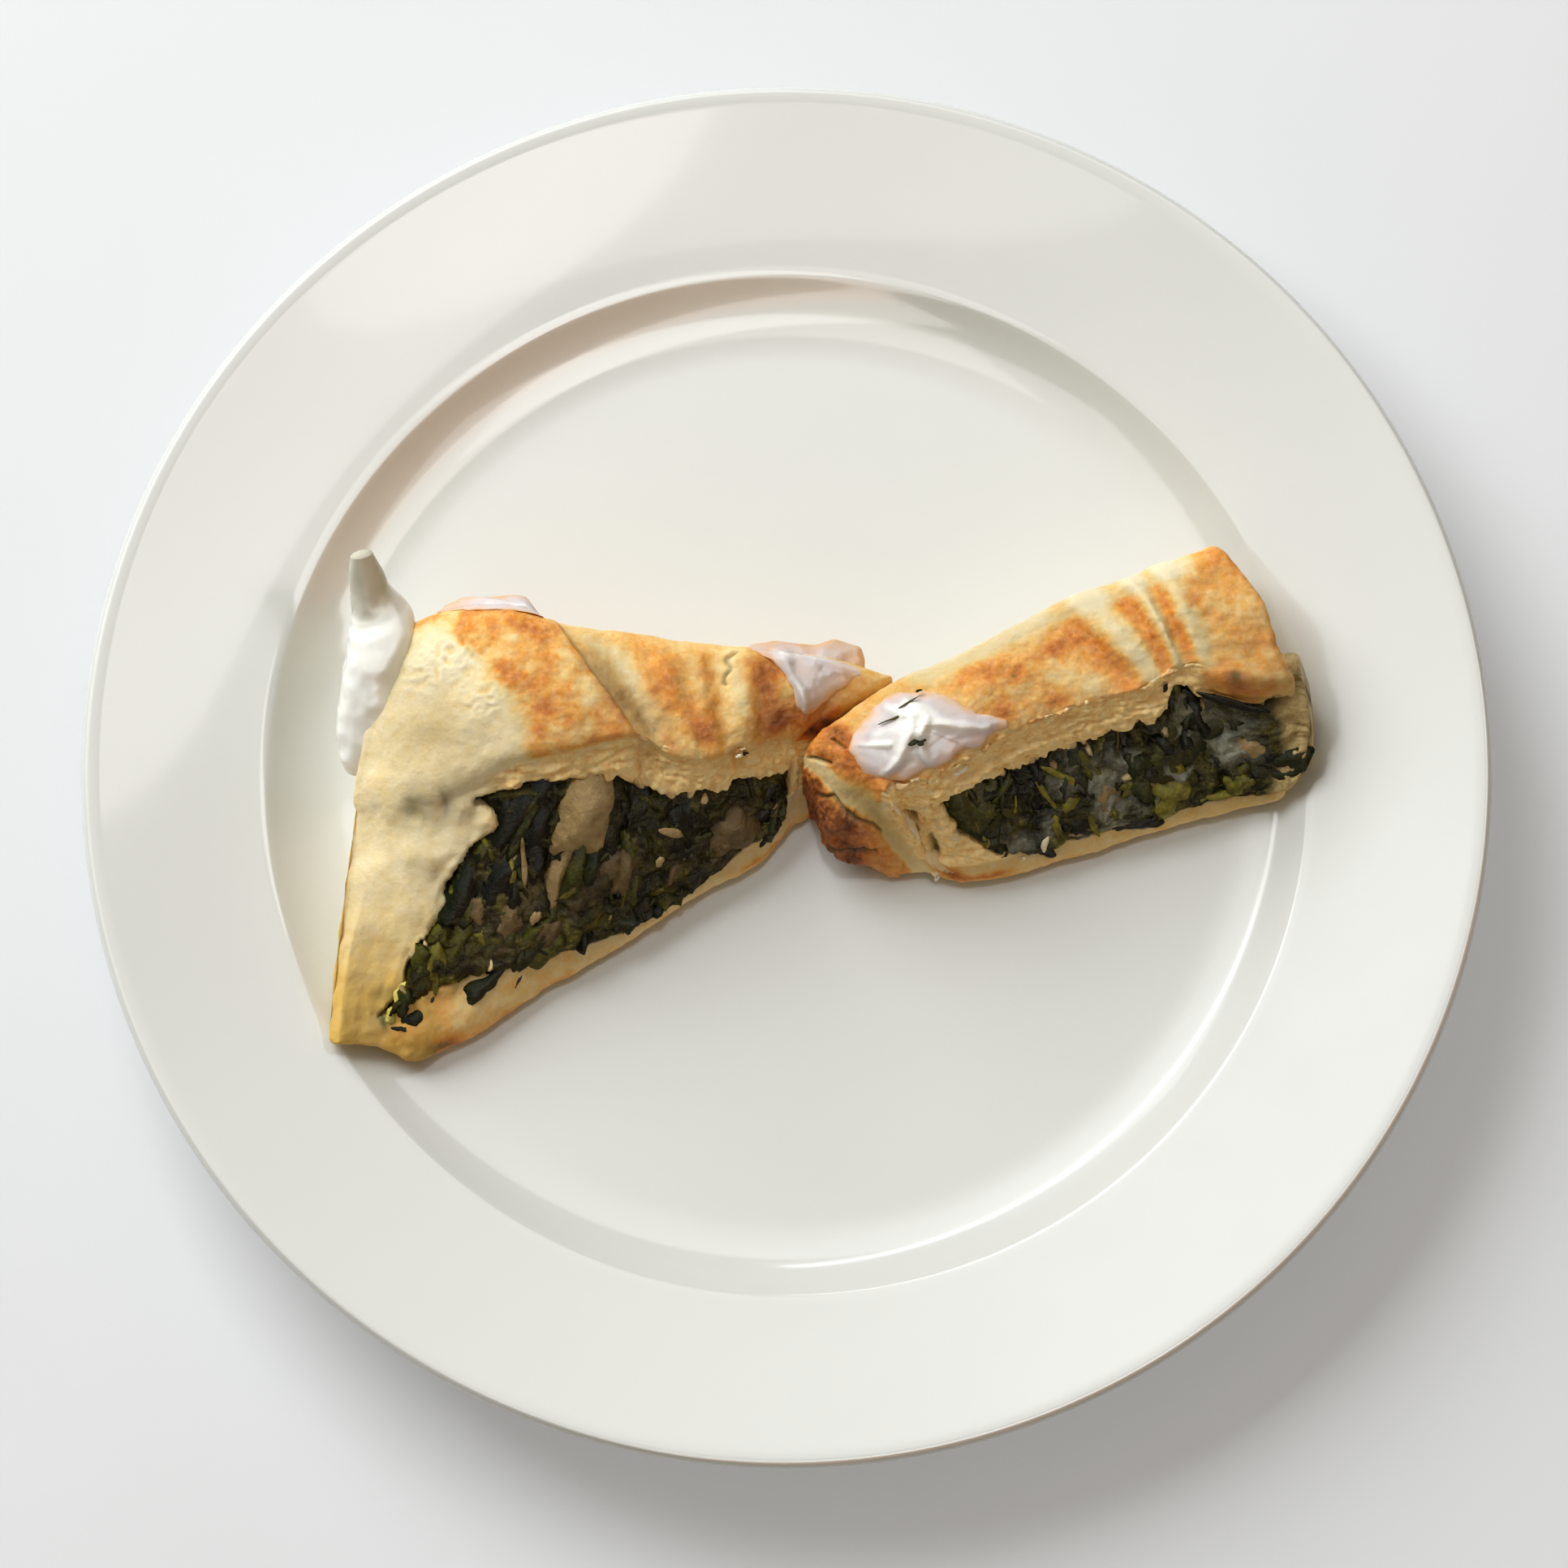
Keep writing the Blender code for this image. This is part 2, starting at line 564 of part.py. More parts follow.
def beyond(line, previous, distance):
    """The line of points carried on level, away from the previous line."""
    step = (line - previous) * (1.0, 1.0, 0.0)
    return line + step * distance / np.linalg.norm(step, axis=-1, keepdims=True)


def padded(grid, margins):
    """Grid with one more line of points past its first and last row and column."""
    first_row, last_row, first_column, last_column = margins
    before = beyond(grid[0], grid[1], first_row)
    after = beyond(grid[-1], grid[-2], last_row)
    grid = np.concatenate([before[None], grid, after[None]])
    before = beyond(grid[:, 0], grid[:, 1], first_column)
    after = beyond(grid[:, -1], grid[:, -2], last_column)
    return np.concatenate([before[:, None], grid, after[:, None]], axis=1)


LEFT_WINDOW = (LEFT_WINDOW_TOP, LEFT_WINDOW_BASE)
RIGHT_WINDOW = (RIGHT_WINDOW_TOP, RIGHT_WINDOW_BASE)
LEFT = Piece(
    LEFT_SECTIONS, LEFT_ROWS, left_relief, left_shift, LEFT_WINDOW, LEFT_START, LEFT_END, LEFT_CROWN
)
RIGHT = Piece(
    RIGHT_SECTIONS, RIGHT_ROWS, right_relief, right_shift, RIGHT_WINDOW, RIGHT_START, RIGHT_END,
    RIGHT_CROWN, right_slant, right_lobe_drop,
)


# ---------------------------------------------------------------- feta and sauce
def feta_lump(piece, place, size, grow=0.0):
    """Lumpy ball set into the open side, turned to lie along it."""
    u, w = (np.array([value]) for value in place)
    centre, along, down = (piece.face(*spot)[0] for spot in ((u, w), (u + 0.02, w), (u, w + 0.05)))
    along = Vector(along - centre).normalized()
    down = Vector(down - centre).normalized()
    inward = down.cross(along).normalized()
    if inward.z > 0.0:
        inward.negate()
    down = inward.cross(along)
    ball = bmesh.new()
    bmesh.ops.create_icosphere(ball, subdivisions=2, radius=1.0)
    points = np.array([vertex.co[:] for vertex in ball.verts])
    faces = [[vertex.index for vertex in face.verts] for face in ball.faces]
    ball.free()
    waves = np.sin(points @ (2.3, 1.1, 3.0) + 9.0 * u) * np.sin(points @ (-1.4, 3.2, 0.8) + 5.0 * w)
    radius = 1.0 + 0.13 * waves
    half = np.array(size) / 2 + grow
    turn = Matrix((along, down, inward)).transposed()
    centre = centre + np.array(inward) * (half[2] - grow - LUMP_PROUD)
    return centre + (points * radius[:, None] * half) @ np.array(turn).T, faces


def dollop(piece, outline, peak, rise, peak_height, sides=24):
    """Sauce on the crust: rings from a root under it, over the rim and in to the peak."""
    loop = smooth_loop(outline, sides)
    peak = np.array(peak)
    rings = []
    for share in (1.0, 0.9, 0.7, 0.45, 0.2):
        spots = peak + (loop - peak) * share
        ring = piece.crust(spots[:, 0], spots[:, 1])
        if not rings:
            rings.append(ring - (0.0, 0.0, SAUCE_ROOT))
        height = SAUCE_EDGE + rise * math.sqrt(1.0 - share**2) + peak_height * (1.0 - share) ** 2
        rings.append(ring + (0.0, 0.0, height))
    return rings_to_block(rings)


def side_sauce(sides=14):
    """Sauce on the side wall: oval rings along a bent line, drawn up into a thin peak."""
    rows = smooth_through(SIDE_SAUCE, np.linspace(0.0, 1.0, 17))
    ahead = np.gradient(rows[:, :3], axis=0)
    ahead /= np.linalg.norm(ahead, axis=1, keepdims=True)
    across = np.cross(ahead, (0.0, 0.0, 1.0))
    across /= np.linalg.norm(across, axis=1, keepdims=True)
    up = np.cross(across, ahead)
    turn = np.linspace(0.0, 2.0 * math.pi, sides, endpoint=False)[None, :, None]
    sideways = across[:, None] * np.cos(turn) * rows[:, None, 3:4]
    upwards = up[:, None] * np.sin(turn) * rows[:, None, 4:5]
    return rings_to_block(rows[:, None, :3] + sideways + upwards)


# ---------------------------------------------------------------- whole object
def main():
    clear_scene()
    dish = new_collection("spanakopita_on_plate")
    cutters = new_collection("cutters")
    make_plate(dish)

    nodes = {}
    spreads = {}
    for side, piece in (("left", LEFT), ("right", RIGHT)):
        pastry = solid(f"{side}_pastry", piece.outer_block(), "pastry", dish)
        filling = solid(f"{side}_filling", piece.filling_block(), "spinach_filling", dish)
        cut(pastry, cutter(f"{side}_cavity", piece.cavity_block(), "pastry", cutters))
        spreads[side] = cutter(f"{side}_spread", piece.spread_block(), "pastry", cutters)
        nodes[side] = (pastry, filling)

    for number, (u, w, *size) in enumerate(FETA_LUMPS, start=1):
        solid(f"left_feta_{number}", feta_lump(LEFT, (u, w), size), "feta", dish)
        pocket = feta_lump(LEFT, (u, w), size, grow=GAP)
        pocket = cutter(f"feta_pocket_{number}", pocket, "feta", cutters)
        for node in nodes["left"]:
            cut(node, pocket)

    sauces = (
        ("sauce_right", "right", dollop(RIGHT, *RIGHT_DOLLOP)),
        ("sauce_left_tip", "left", dollop(LEFT, *TIP_DOLLOP)),
        ("sauce_left_back", "left", dollop(LEFT, *BACK_STRIP)),
        ("sauce_left_side", "left", side_sauce()),
    )
    for name, side, shape in sauces:
        cut(solid(name, shape, "yoghurt", dish), spreads[side])


main()
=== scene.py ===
"""Looks of two broken-open pieces of spanakopita with yoghurt sauce on a white rim plate.

Lengths are millimetres until a mesh is made, which MM turns into metres. A place on a piece
is (u, s): u runs from its closed end to its other end, and s from 0 at the back edge of the
top crust to 1 at the crust's broken edge and on to 2 at the foot of the open side. Below 0
lies the back wall, and past 2 the underside.
"""

import dataclasses
import itertools
import math
from collections.abc import Callable

import bpy
import numpy as np
from mathutils import Euler, Matrix


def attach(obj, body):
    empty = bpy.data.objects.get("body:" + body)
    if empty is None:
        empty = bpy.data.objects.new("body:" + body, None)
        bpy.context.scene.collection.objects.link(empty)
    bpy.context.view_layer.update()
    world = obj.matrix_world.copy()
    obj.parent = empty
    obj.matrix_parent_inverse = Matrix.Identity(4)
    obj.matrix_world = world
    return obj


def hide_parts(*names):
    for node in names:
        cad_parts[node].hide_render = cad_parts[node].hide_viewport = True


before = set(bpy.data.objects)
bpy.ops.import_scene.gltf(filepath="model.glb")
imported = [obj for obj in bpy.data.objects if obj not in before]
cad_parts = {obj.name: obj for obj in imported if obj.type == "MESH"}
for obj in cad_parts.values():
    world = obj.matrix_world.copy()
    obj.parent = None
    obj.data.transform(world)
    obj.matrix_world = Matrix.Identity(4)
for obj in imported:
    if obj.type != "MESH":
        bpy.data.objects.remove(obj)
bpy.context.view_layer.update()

MM = 0.001

# ---------------------------------------- forms (mm)
# Those of the solids, but for the plate's shoulder, which is steeper here and has a crisper border.
PLATE_RADIUS = 135.0
RIM_HEIGHT = 26.0
FLOOR_HEIGHT = 6.0
SHOULDER_START = 84.5
SHOULDER_END = 100.5
SHOULDER_RISE = 7.5
RIM_CURVE = 1.15
SHOULDER_CURVE = 1.9
BORDER_ROUND = 0.4
BORDER_RUN = 1.6
LIP_REACH = 1.6
LIP_RADIUS = 1.7
PLATE_WALL = 4.2
FOOT_RADIUS = 80.0
UNDERSIDE_HEIGHT = 1.8

REST_GAP = 0.45
SHOULDER_GAP = 0.5
SHOULDER_GAP_FROM = 90.0
SHOULDER_GAP_WIDTH = 6.0
FOOT_LIP = 3.0
BACK_BULGE = 1.3
BACK_ROLL = 4.2
ROLL_SHARE = 0.16

# Sections: back edge (x, y, z), broken crust edge (x, y, z), foot of the open side (x, y).
LEFT_SECTIONS = (
    (-74.0, 25.5, 33.0, -83.6, -6.0, 24.0, -87.1, -52.7),
    (-68.0, 28.0, 37.5, -76.0, -6.8, 31.0, -79.0, -52.3),
    (-61.5, 29.0, 39.5, -66.0, -6.5, 36.5, -71.5, -54.6),
    (-55.0, 29.0, 40.5, -54.0, -2.2, 40.0, -62.0, -50.8),
    (-49.0, 28.0, 40.5, -40.0, 0.6, 41.0, -50.0, -42.6),
    (-44.5, 26.2, 40.0, -28.7, 3.2, 40.5, -39.0, -36.4),
    (-33.0, 25.2, 37.5, -21.5, 0.2, 37.0, -30.0, -31.2),
    (-20.0, 23.4, 36.0, -14.5, 0.0, 34.5, -21.5, -24.8),
    (-7.0, 22.2, 34.0, -7.0, 2.8, 32.0, -13.0, -20.0),
    (8.0, 21.0, 30.0, -1.0, 4.6, 29.0, -4.5, -14.8),
    (21.5, 18.0, 25.0, 2.2, 5.2, 26.5, 2.8, -6.2),
)
RIGHT_SECTIONS = (
    (4.6, -5.5, 12.5, 18.0, -17.6, 11.0, 21.0, -17.6),
    (3.4, -0.5, 23.0, 16.6, -12.0, 22.5, 23.5, -17.4),
    (4.2, 4.0, 30.0, 18.4, -5.6, 31.0, 27.5, -17.2),
    (10.2, 9.2, 32.0, 25.0, -4.4, 32.0, 33.5, -19.0),
    (20.5, 15.6, 33.0, 33.5, -0.8, 32.5, 40.0, -18.7),
    (31.0, 20.4, 33.0, 41.5, 4.4, 33.0, 47.5, -16.9),
    (41.5, 25.6, 33.5, 50.0, 8.0, 33.0, 56.0, -14.6),
    (52.0, 31.2, 34.0, 59.0, 11.2, 33.5, 65.0, -11.5),
    (63.0, 35.2, 34.5, 68.5, 13.8, 34.0, 75.0, -8.3),
    (73.0, 38.8, 35.0, 78.0, 18.4, 34.0, 85.5, -5.6),
    (83.2, 43.0, 35.0, 98.6, 17.2, 31.0, 96.0, -3.6),
)
# How far out and how far down the open side is, at even steps of w from edge to foot.
FACE_OUT = (0.0, 0.03, 0.1, 0.3, 0.52, 0.72, 0.88, 0.96, 1.0)
FACE_DOWN = (0.0, 0.09, 0.22, 0.42, 0.6, 0.76, 0.88, 0.94, 1.0)
# The windows in the open sides: w of top and base at even steps of u, u of their start at
# even steps from top to base, and u of their end. The right one is open past its far end.
LEFT_WINDOW_TOP = (0.2, 0.2, 0.2, 0.21, 0.24, 0.29, 0.29, 0.3, 0.31, 0.31, 0.3)
LEFT_WINDOW_BASE = (0.8, 0.78, 0.66, 0.65, 0.72, 0.77, 0.8, 0.84, 0.72, 0.67, 0.7)
LEFT_START = (0.25, 0.28, 0.3, 0.25, 0.23, 0.22, 0.17, 0.15, 0.11)
LEFT_END = 0.955
RIGHT_WINDOW_TOP = (0.32, 0.32, 0.32, 0.31, 0.29, 0.31, 0.31, 0.32, 0.3, 0.3, 0.24)
RIGHT_WINDOW_BASE = (0.62, 0.62, 0.62, 0.62, 0.66, 0.75, 0.74, 0.76, 0.77, 0.79, 0.86)
RIGHT_START = (0.33, 0.34, 0.36, 0.43)
RIGHT_END = 1.3
LOBE_PLACE = 0.95
# Pleats across the crusts: u of the middle, and height.
LEFT_PLEATS = ((0.66, 0.9), (0.745, -1.1), (0.8, 0.7))
RIGHT_PLEATS = ((0.69, -1.2), (0.72, 0.8), (0.785, -1.3), (0.81, 0.9), (0.845, -1.2), (0.875, 0.9))
PLEAT_HALF_WIDTH = 0.035
RIGHT_PLEAT_SLANT = 0.09


# ---------------------------------------- curves and noise
def smooth_step(x):
    """0 below 0, 1 above 1, and between them 3 x squared less 2 x cubed."""
    x = np.clip(x, 0.0, 1.0)
    return x * x * (3.0 - 2.0 * x)


def hump(x, centre, half_width):
    """A raised cosine: 1 at the centre, falling to 0 at half_width on each side."""
    reach = np.clip(np.abs(x - centre) / half_width, 0.0, 1.0)
    return 0.5 + 0.5 * np.cos(np.pi * reach)


def rises(x, start, width):
    """0 up to start, then smoothly up to 1 over the width."""
    return smooth_step((x - start) / width)


def falls(x, start, width):
    """1 up to start, then smoothly down to 0 over the width."""
    return 1.0 - smooth_step((x - start) / width)


def bell(distance, width):
    """e to the power of less the squared distance in widths."""
    return np.exp(-((distance / width) ** 2))


def unit(vectors):
    """The vectors at length 1."""
    return vectors / np.maximum(np.linalg.norm(vectors, axis=-1, keepdims=True), 1e-9)


def spline(before, start, end, after, f):
    """Catmull-Rom curve: the cubic through start and end with slopes half of their neighbours' span."""
    slope = end - before
    bend = 2 * before - 5 * start + 4 * end - after
    return start + 0.5 * f * (slope + f * (bend + f * (3 * (start - end) + after - before)))


def smooth_through(rows, t):
    """Smooth curve through evenly spaced rows, read at t from 0 to 1."""
    rows = np.asarray(rows, float)
    spans = len(rows) - 1
    place = np.clip(t, 0.0, 1.0) * spans
    index = np.minimum(place.astype(int), spans - 1)
    share = (place - index).reshape(place.shape + (1,) * (rows.ndim - 1))
    padded = np.concatenate([[2 * rows[0] - rows[1]], rows, [2 * rows[-1] - rows[-2]]])
    return spline(*(padded[index + k] for k in range(4)), share)


def smooth_loop(rows, count):
    """Smooth closed curve through the rows, as count points."""
    rows = np.asarray(rows, float)
    place = np.arange(count) * len(rows) / count
    index = place.astype(int)
    corners = (rows[(index + k) % len(rows)] for k in (-1, 0, 1, 2))
    return spline(*corners, (place - index)[:, None])


LATTICE = np.random.default_rng(11)
SHUFFLE = LATTICE.permutation(256)
SLOPES = LATTICE.normal(size=(256, 3))
SLOPES /= np.linalg.norm(SLOPES, axis=1, keepdims=True)


def noise(points, size, seed):
    """Gradient noise, about -1 to 1, with lumps of that size in millimetres.

    Each corner of a cubic lattice has a random slope. The height of a point over each of
    its eight corners' slopes is blended by an eased share of its place in the cell."""
    place = points / size + 31.7 * seed
    cell = np.floor(place).astype(int)
    inside = place - cell
    ease = inside**3 * (inside * (inside * 6.0 - 15.0) + 10.0)
    total = np.zeros(points.shape[:-1])
    for corner in itertools.product((0, 1), repeat=3):
        at = (cell + corner) & 255
        mixed = SHUFFLE[(SHUFFLE[(SHUFFLE[at[..., 0]] + at[..., 1]) & 255] + at[..., 2]) & 255]
        height = (SLOPES[mixed] * (inside - corner)).sum(axis=-1)
        total += height * np.prod(np.where(corner, ease, 1.0 - ease), axis=-1)
    return 1.5 * total


def rough(points, size, octaves, seed):
    """Sum of noises, each half the size and half the height of the one before."""
    return sum(noise(points, size / 2**k, seed + k) / 2**k for k in range(octaves))


def folds(points, size, octaves, seed):
    """Sharp-crested noise: 1 less twice the noise's distance from zero, summed as in rough."""
    return sum((1.0 - 2.0 * np.abs(noise(points, size / 2**k, seed + k))) / 2**k for k in range(octaves))


# ---------------------------------------- meshes
def quads(index):
    """Corner numbers of a grid's squares, from the grid of its points' numbers."""
    corners = (index[:-1, :-1], index[:-1, 1:], index[1:, 1:], index[1:, :-1])
    return np.stack([corner.ravel() for corner in corners], axis=1)


def volume(points, faces):
    """Six times the volume that the faces close in, positive where they face outwards."""
    total = 0.0
    for group in faces:
        for k in range(1, group.shape[1] - 1):
            a, b, c = (points[group[:, i]] for i in (0, k, k + 1))
            total += np.einsum("ij,ij->", a, np.cross(b, c))
    return total


def make_piece(name, points, faces, look, values=None):
    """Smooth-shaded mesh object from points in millimetres, groups of faces and named numbers."""
    points = points.reshape(-1, 3)
    if volume(points, faces) < 0.0:
        faces = [group[:, ::-1] for group in faces]
    sizes = np.concatenate([np.full(len(group), group.shape[1]) for group in faces])
    corners = np.concatenate([group.ravel() for group in faces])
    mesh = bpy.data.meshes.new(name)
    mesh.vertices.add(len(points))
    mesh.vertices.foreach_set("co", (points * MM).astype(np.float32).ravel())
    mesh.loops.add(len(corners))
    mesh.loops.foreach_set("vertex_index", corners.astype(np.int32))
    mesh.polygons.add(len(sizes))
    starts = np.cumsum(sizes) - sizes
    mesh.polygons.foreach_set("loop_start", starts.astype(np.int32))
    mesh.polygons.foreach_set("loop_total", sizes.astype(np.int32))
    mesh.update(calc_edges=True)
    mesh.validate()
    mesh.shade_smooth()
    for key, numbers in (values or {}).items():
        made = mesh.attributes.new(key, "FLOAT", "POINT")
        made.data.foreach_set("value", np.asarray(numbers, np.float32).ravel())
    mesh.materials.append(look)
    piece = bpy.data.objects.new(name, mesh)
    bpy.context.scene.collection.objects.link(piece)
    return piece


def normals_of(grid):
    """Unit normal at each point of a tube's grid, from the steps to its neighbours both ways."""
    along = np.gradient(grid, axis=0)
    across = 0.5 * (np.roll(grid, -1, axis=1) - np.roll(grid, 1, axis=1))
    return unit(np.cross(across, along))


def closed_faces(rows, columns):
    """Faces of rings joined into a tube, with a fan to one more point at each end."""
    index = np.arange(rows * columns).reshape(rows, columns)
    first, last = index[0], index[-1]
    pole = np.full(columns, rows * columns)
    first_fan = np.stack([np.roll(first, -1), first, pole], axis=1)
    last_fan = np.stack([last, np.roll(last, -1), pole + 1], axis=1)
    tube = quads(np.concatenate([index, index[:, :1]], axis=1))
    return [tube, np.concatenate([first_fan, last_fan])]


def with_poles(values):
    """Named numbers of a tube as flat rows that end with the means of its first and last rings."""
    return {key: np.concatenate([v.ravel(), [v[0].mean(), v[-1].mean()]]) for key, v in values.items()}


# ---------------------------------------- plate and pastry shapes
def plate_top(radius):
    """Height of the plate: a flat floor, a shoulder that rises as a power and a rim that rises
    as another, with the soft minimum of the two where they meet."""
    climb = np.clip((radius - SHOULDER_START) / (SHOULDER_END - SHOULDER_START), 0.0, None)
    across = np.clip((radius - SHOULDER_END) / (PLATE_RADIUS - SHOULDER_END), 0.0, 1.0)
    rim_rise = RIM_HEIGHT - FLOOR_HEIGHT - SHOULDER_RISE
    shoulder = SHOULDER_RISE * climb**SHOULDER_CURVE
    rim = SHOULDER_RISE + rim_rise * across**RIM_CURVE
    return FLOOR_HEIGHT - BORDER_ROUND * np.logaddexp(-shoulder / BORDER_ROUND, -rim / BORDER_ROUND)


def rest_height(x, y):
    """Height of a pastry's underside over a point of the plate."""
    radius = np.hypot(x, y)
    extra = rises(radius, SHOULDER_GAP_FROM, SHOULDER_GAP_WIDTH)
    return plate_top(radius) + REST_GAP + SHOULDER_GAP * extra


def pleats(place, heights):
    """Sum of the pleats' humps and hollows at a place along the piece."""
    return sum(height * hump(place, middle, PLEAT_HALF_WIDTH) for middle, height in heights)


def across_crust(v):
    """1 over most of the crust, falling to 0 at its back and broken edges."""
    return np.sqrt(np.sin(np.pi * np.clip(v, 0.0, 1.0)))


def left_relief(u, v):
    """Height added to the left crust: the big flap's step, and the pleats beyond it."""
    flap = 1.2 * rises(u, 0.55, 0.08) - 2.6 * rises(u, 0.495, 0.014)
    swell = 1.5 * hump(u, 0.33, 0.25)
    return flap + (pleats(u, LEFT_PLEATS) + swell) * across_crust(v)


def left_shift(u, s):
    """Sideways step: the left piece's side wall draws in above its corner."""
    pinch = 3.4 * hump(s, 1.34, 0.3) * falls(u, 0.0, 0.16)
    return np.stack([pinch, 0.0 * pinch, 0.0 * pinch], axis=-1)


def right_slant(u, v):
    """How far along the right piece a pleat has moved at v, where it passes u."""
    return RIGHT_PLEAT_SLANT * hump(u, 0.8, 0.2) * np.clip(v, 0.0, 1.0)


def right_relief(u, v):
    """Height added to the right crust: three slanting pleats towards its far end."""
    swell = 1.2 * hump(u, 0.45, 0.25)
    return (pleats(u - right_slant(u, v), RIGHT_PLEATS) + swell) * across_crust(v)


def right_shift(u, s):
    """Sideways step: the right piece's round ends, and the lobe that hangs over at the far one."""
    far_end = (2.0 * hump(s, 0.5, 0.5) + 4.5 * hump(s, 1.5, 0.5)) * rises(u, 0.93, 0.07)
    closed_end = 3.2 * hump(s, 0.55, 0.55) * falls(u, 0.0, 0.22)
    lobe = 1.6 * hump(u, LOBE_PLACE, 0.07) * hump(s, 1.16, 0.2)
    return np.stack([far_end - closed_end, -lobe - closed_end, lobe], axis=-1)


def right_lobe_drop(u):
    """How much lower the crust ends at the lobe, and higher at the notch beside it."""
    return 0.06 * hump(u, LOBE_PLACE, 0.05) - 0.13 * hump(u, 0.86, 0.04)


@dataclasses.dataclass
class Slice:
    """One piece of the pie, as a surface of (u, s) with a window in its open side.

    The crown is how high its crust arches. The span is how many millimetres u and s each
    stand for, from end to end and around. The seed is its filling's."""

    sections: tuple
    relief: Callable
    shift: Callable
    window: tuple
    start: tuple
    end: float
    crown: float
    span: tuple
    seed: int
    lobe: Callable = None

    def guides(self, u):
        """Back edge, broken crust edge and foot of the open side, each a smooth line along u."""
        row = smooth_through(self.sections, np.asarray(u, float))
        back, edge, foot = row[..., 0:3], row[..., 3:6], row[..., 6:8]
        foot_height = rest_height(foot[..., 0], foot[..., 1]) + FOOT_LIP
        return back, edge, np.concatenate([foot, foot_height[..., None]], axis=-1)

    def crust(self, u, v):
        """A straight line from back to edge, plus a sine arch and the relief, less a round fall
        at the back: BACK_ROLL times 1 less the root of 1 less the squared share still to roll."""
        back, edge, _ = self.guides(u)
        point = back + (edge - back) * v[..., None]
        roll = 1.0 - np.clip(v / ROLL_SHARE, 0.0, 1.0)
        fall = BACK_ROLL * (1.0 - np.sqrt(1.0 - roll**2))
        arch = self.crown * np.sin(np.pi * np.clip(v, 0.0, 1.0))
        point[..., 2] += arch - fall + self.relief(u, v)
        return point + self.shift(u, v)

    def face(self, u, w):
        """From edge to foot, out by FACE_OUT and down by FACE_DOWN, both read at w."""
        edge = self.crust(u, np.ones_like(w)) - self.shift(u, np.ones_like(w))
        foot = self.guides(u)[2]
        knots = np.linspace(0.0, 1.0, len(FACE_OUT))
        out = np.interp(w, knots, FACE_OUT)
        down = np.interp(w, knots, FACE_DOWN)
        return edge + (foot - edge) * np.stack([out, out, down], axis=-1) + self.shift(u, 1.0 + w)

    def around(self, u, s):
        """Whole skin: underside for s from -0.6, back wall from -0.3, crust from 0, open side
        from 1 and its foot's lip from 2 to 2.1, each a straight run between its two lines."""
        foot = self.face(u, np.ones_like(s))
        back = self.crust(u, np.zeros_like(s))
        share = np.clip((s + 0.6) / 0.3, 0.0, 1.0)[..., None]
        under = foot + (back - foot) * share
        under[..., 2] = rest_height(under[..., 0], under[..., 1])
        rise = np.clip((s + 0.3) / 0.3, 0.0, 1.0)
        wall = back.copy()
        low = rest_height(back[..., 0], back[..., 1])
        wall[..., 2] = low + (back[..., 2] - low) * rise
        wall[..., 1] += BACK_BULGE * np.sin(np.pi * rise) * rises(u, 0.25, 0.3)
        lip = foot.copy()
        drop = np.clip((s - 2.0) / 0.1, 0.0, 1.0)
        lip[..., 2] += (rest_height(foot[..., 0], foot[..., 1]) - foot[..., 2]) * drop
        crust = self.crust(u, np.clip(s, 0.0, 1.0))
        face = self.face(u, np.clip(s - 1.0, 0.0, 1.0))
        limits = [(s < -0.3)[..., None], (s < 0.0)[..., None], (s <= 1.0)[..., None], (s <= 2.0)[..., None]]
        return np.select(limits, [under, wall, crust, face], lip)

    def window_at(self, u, share):
        """The w at a share of the way down the window."""
        top = smooth_through(self.window[0], u)
        base = smooth_through(self.window[1], u)
        if self.lobe:
            top = top + self.lobe(u)
        return top + (base - top) * share

    def borders(self, u, s):
        """Millimetres inside the window from its top, its base, its start and its end."""
        _, edge, foot = self.guides(u)
        height = np.linalg.norm(foot - edge, axis=-1)
        top = self.window_at(u, 0.0)
        base = self.window_at(u, 1.0)
        w = s - 1.0
        start = smooth_through(self.start, np.clip((w - top) / (base - top), 0.0, 1.0))
        reach = ((u - start) * self.span[0], (self.end - u) * self.span[0])
        return (w - top) * height, (base - w) * height, *reach


LEFT = Slice(
    LEFT_SECTIONS, left_relief, left_shift,
    (LEFT_WINDOW_TOP, LEFT_WINDOW_BASE), LEFT_START, LEFT_END,
    crown=2.2, span=(112.0, 44.0), seed=300,
)
RIGHT = Slice(
    RIGHT_SECTIONS, right_relief, right_shift,
    (RIGHT_WINDOW_TOP, RIGHT_WINDOW_BASE), RIGHT_START, RIGHT_END,
    crown=1.8, span=(98.0, 30.0), seed=400, lobe=right_lobe_drop,
)


def path_distance(u, s, path, size):
    """Millimetres to the nearest point of a bent line, with u and s turned into lengths by size."""
    place = np.stack([u * size[0], s * size[1]], axis=-1)
    path = np.asarray(path, float) * size
    nearest = np.full(u.shape, 1e9)
    for a, b in zip(path, path[1:]):
        span = b - a
        share = np.clip(((place - a) @ span) / (span @ span), 0.0, 1.0)
        nearest = np.minimum(nearest, np.linalg.norm(place - a - share[..., None] * span, axis=-1))
    return nearest


def spots(u, s, rows):
    """Sum of bell-shaped spots: amount times e to the power of less the squared reach."""
    total = np.zeros(u.shape)
    for u0, s0, half_u, half_s, amount in rows:
        total += amount * np.exp(-((u - u0) / half_u) ** 2 - ((s - s0) / half_s) ** 2)
    return total


# ---------------------------------------- tubes with round ends
QUARTER_RINGS = 8
MOST_ROUNDING = 0.85


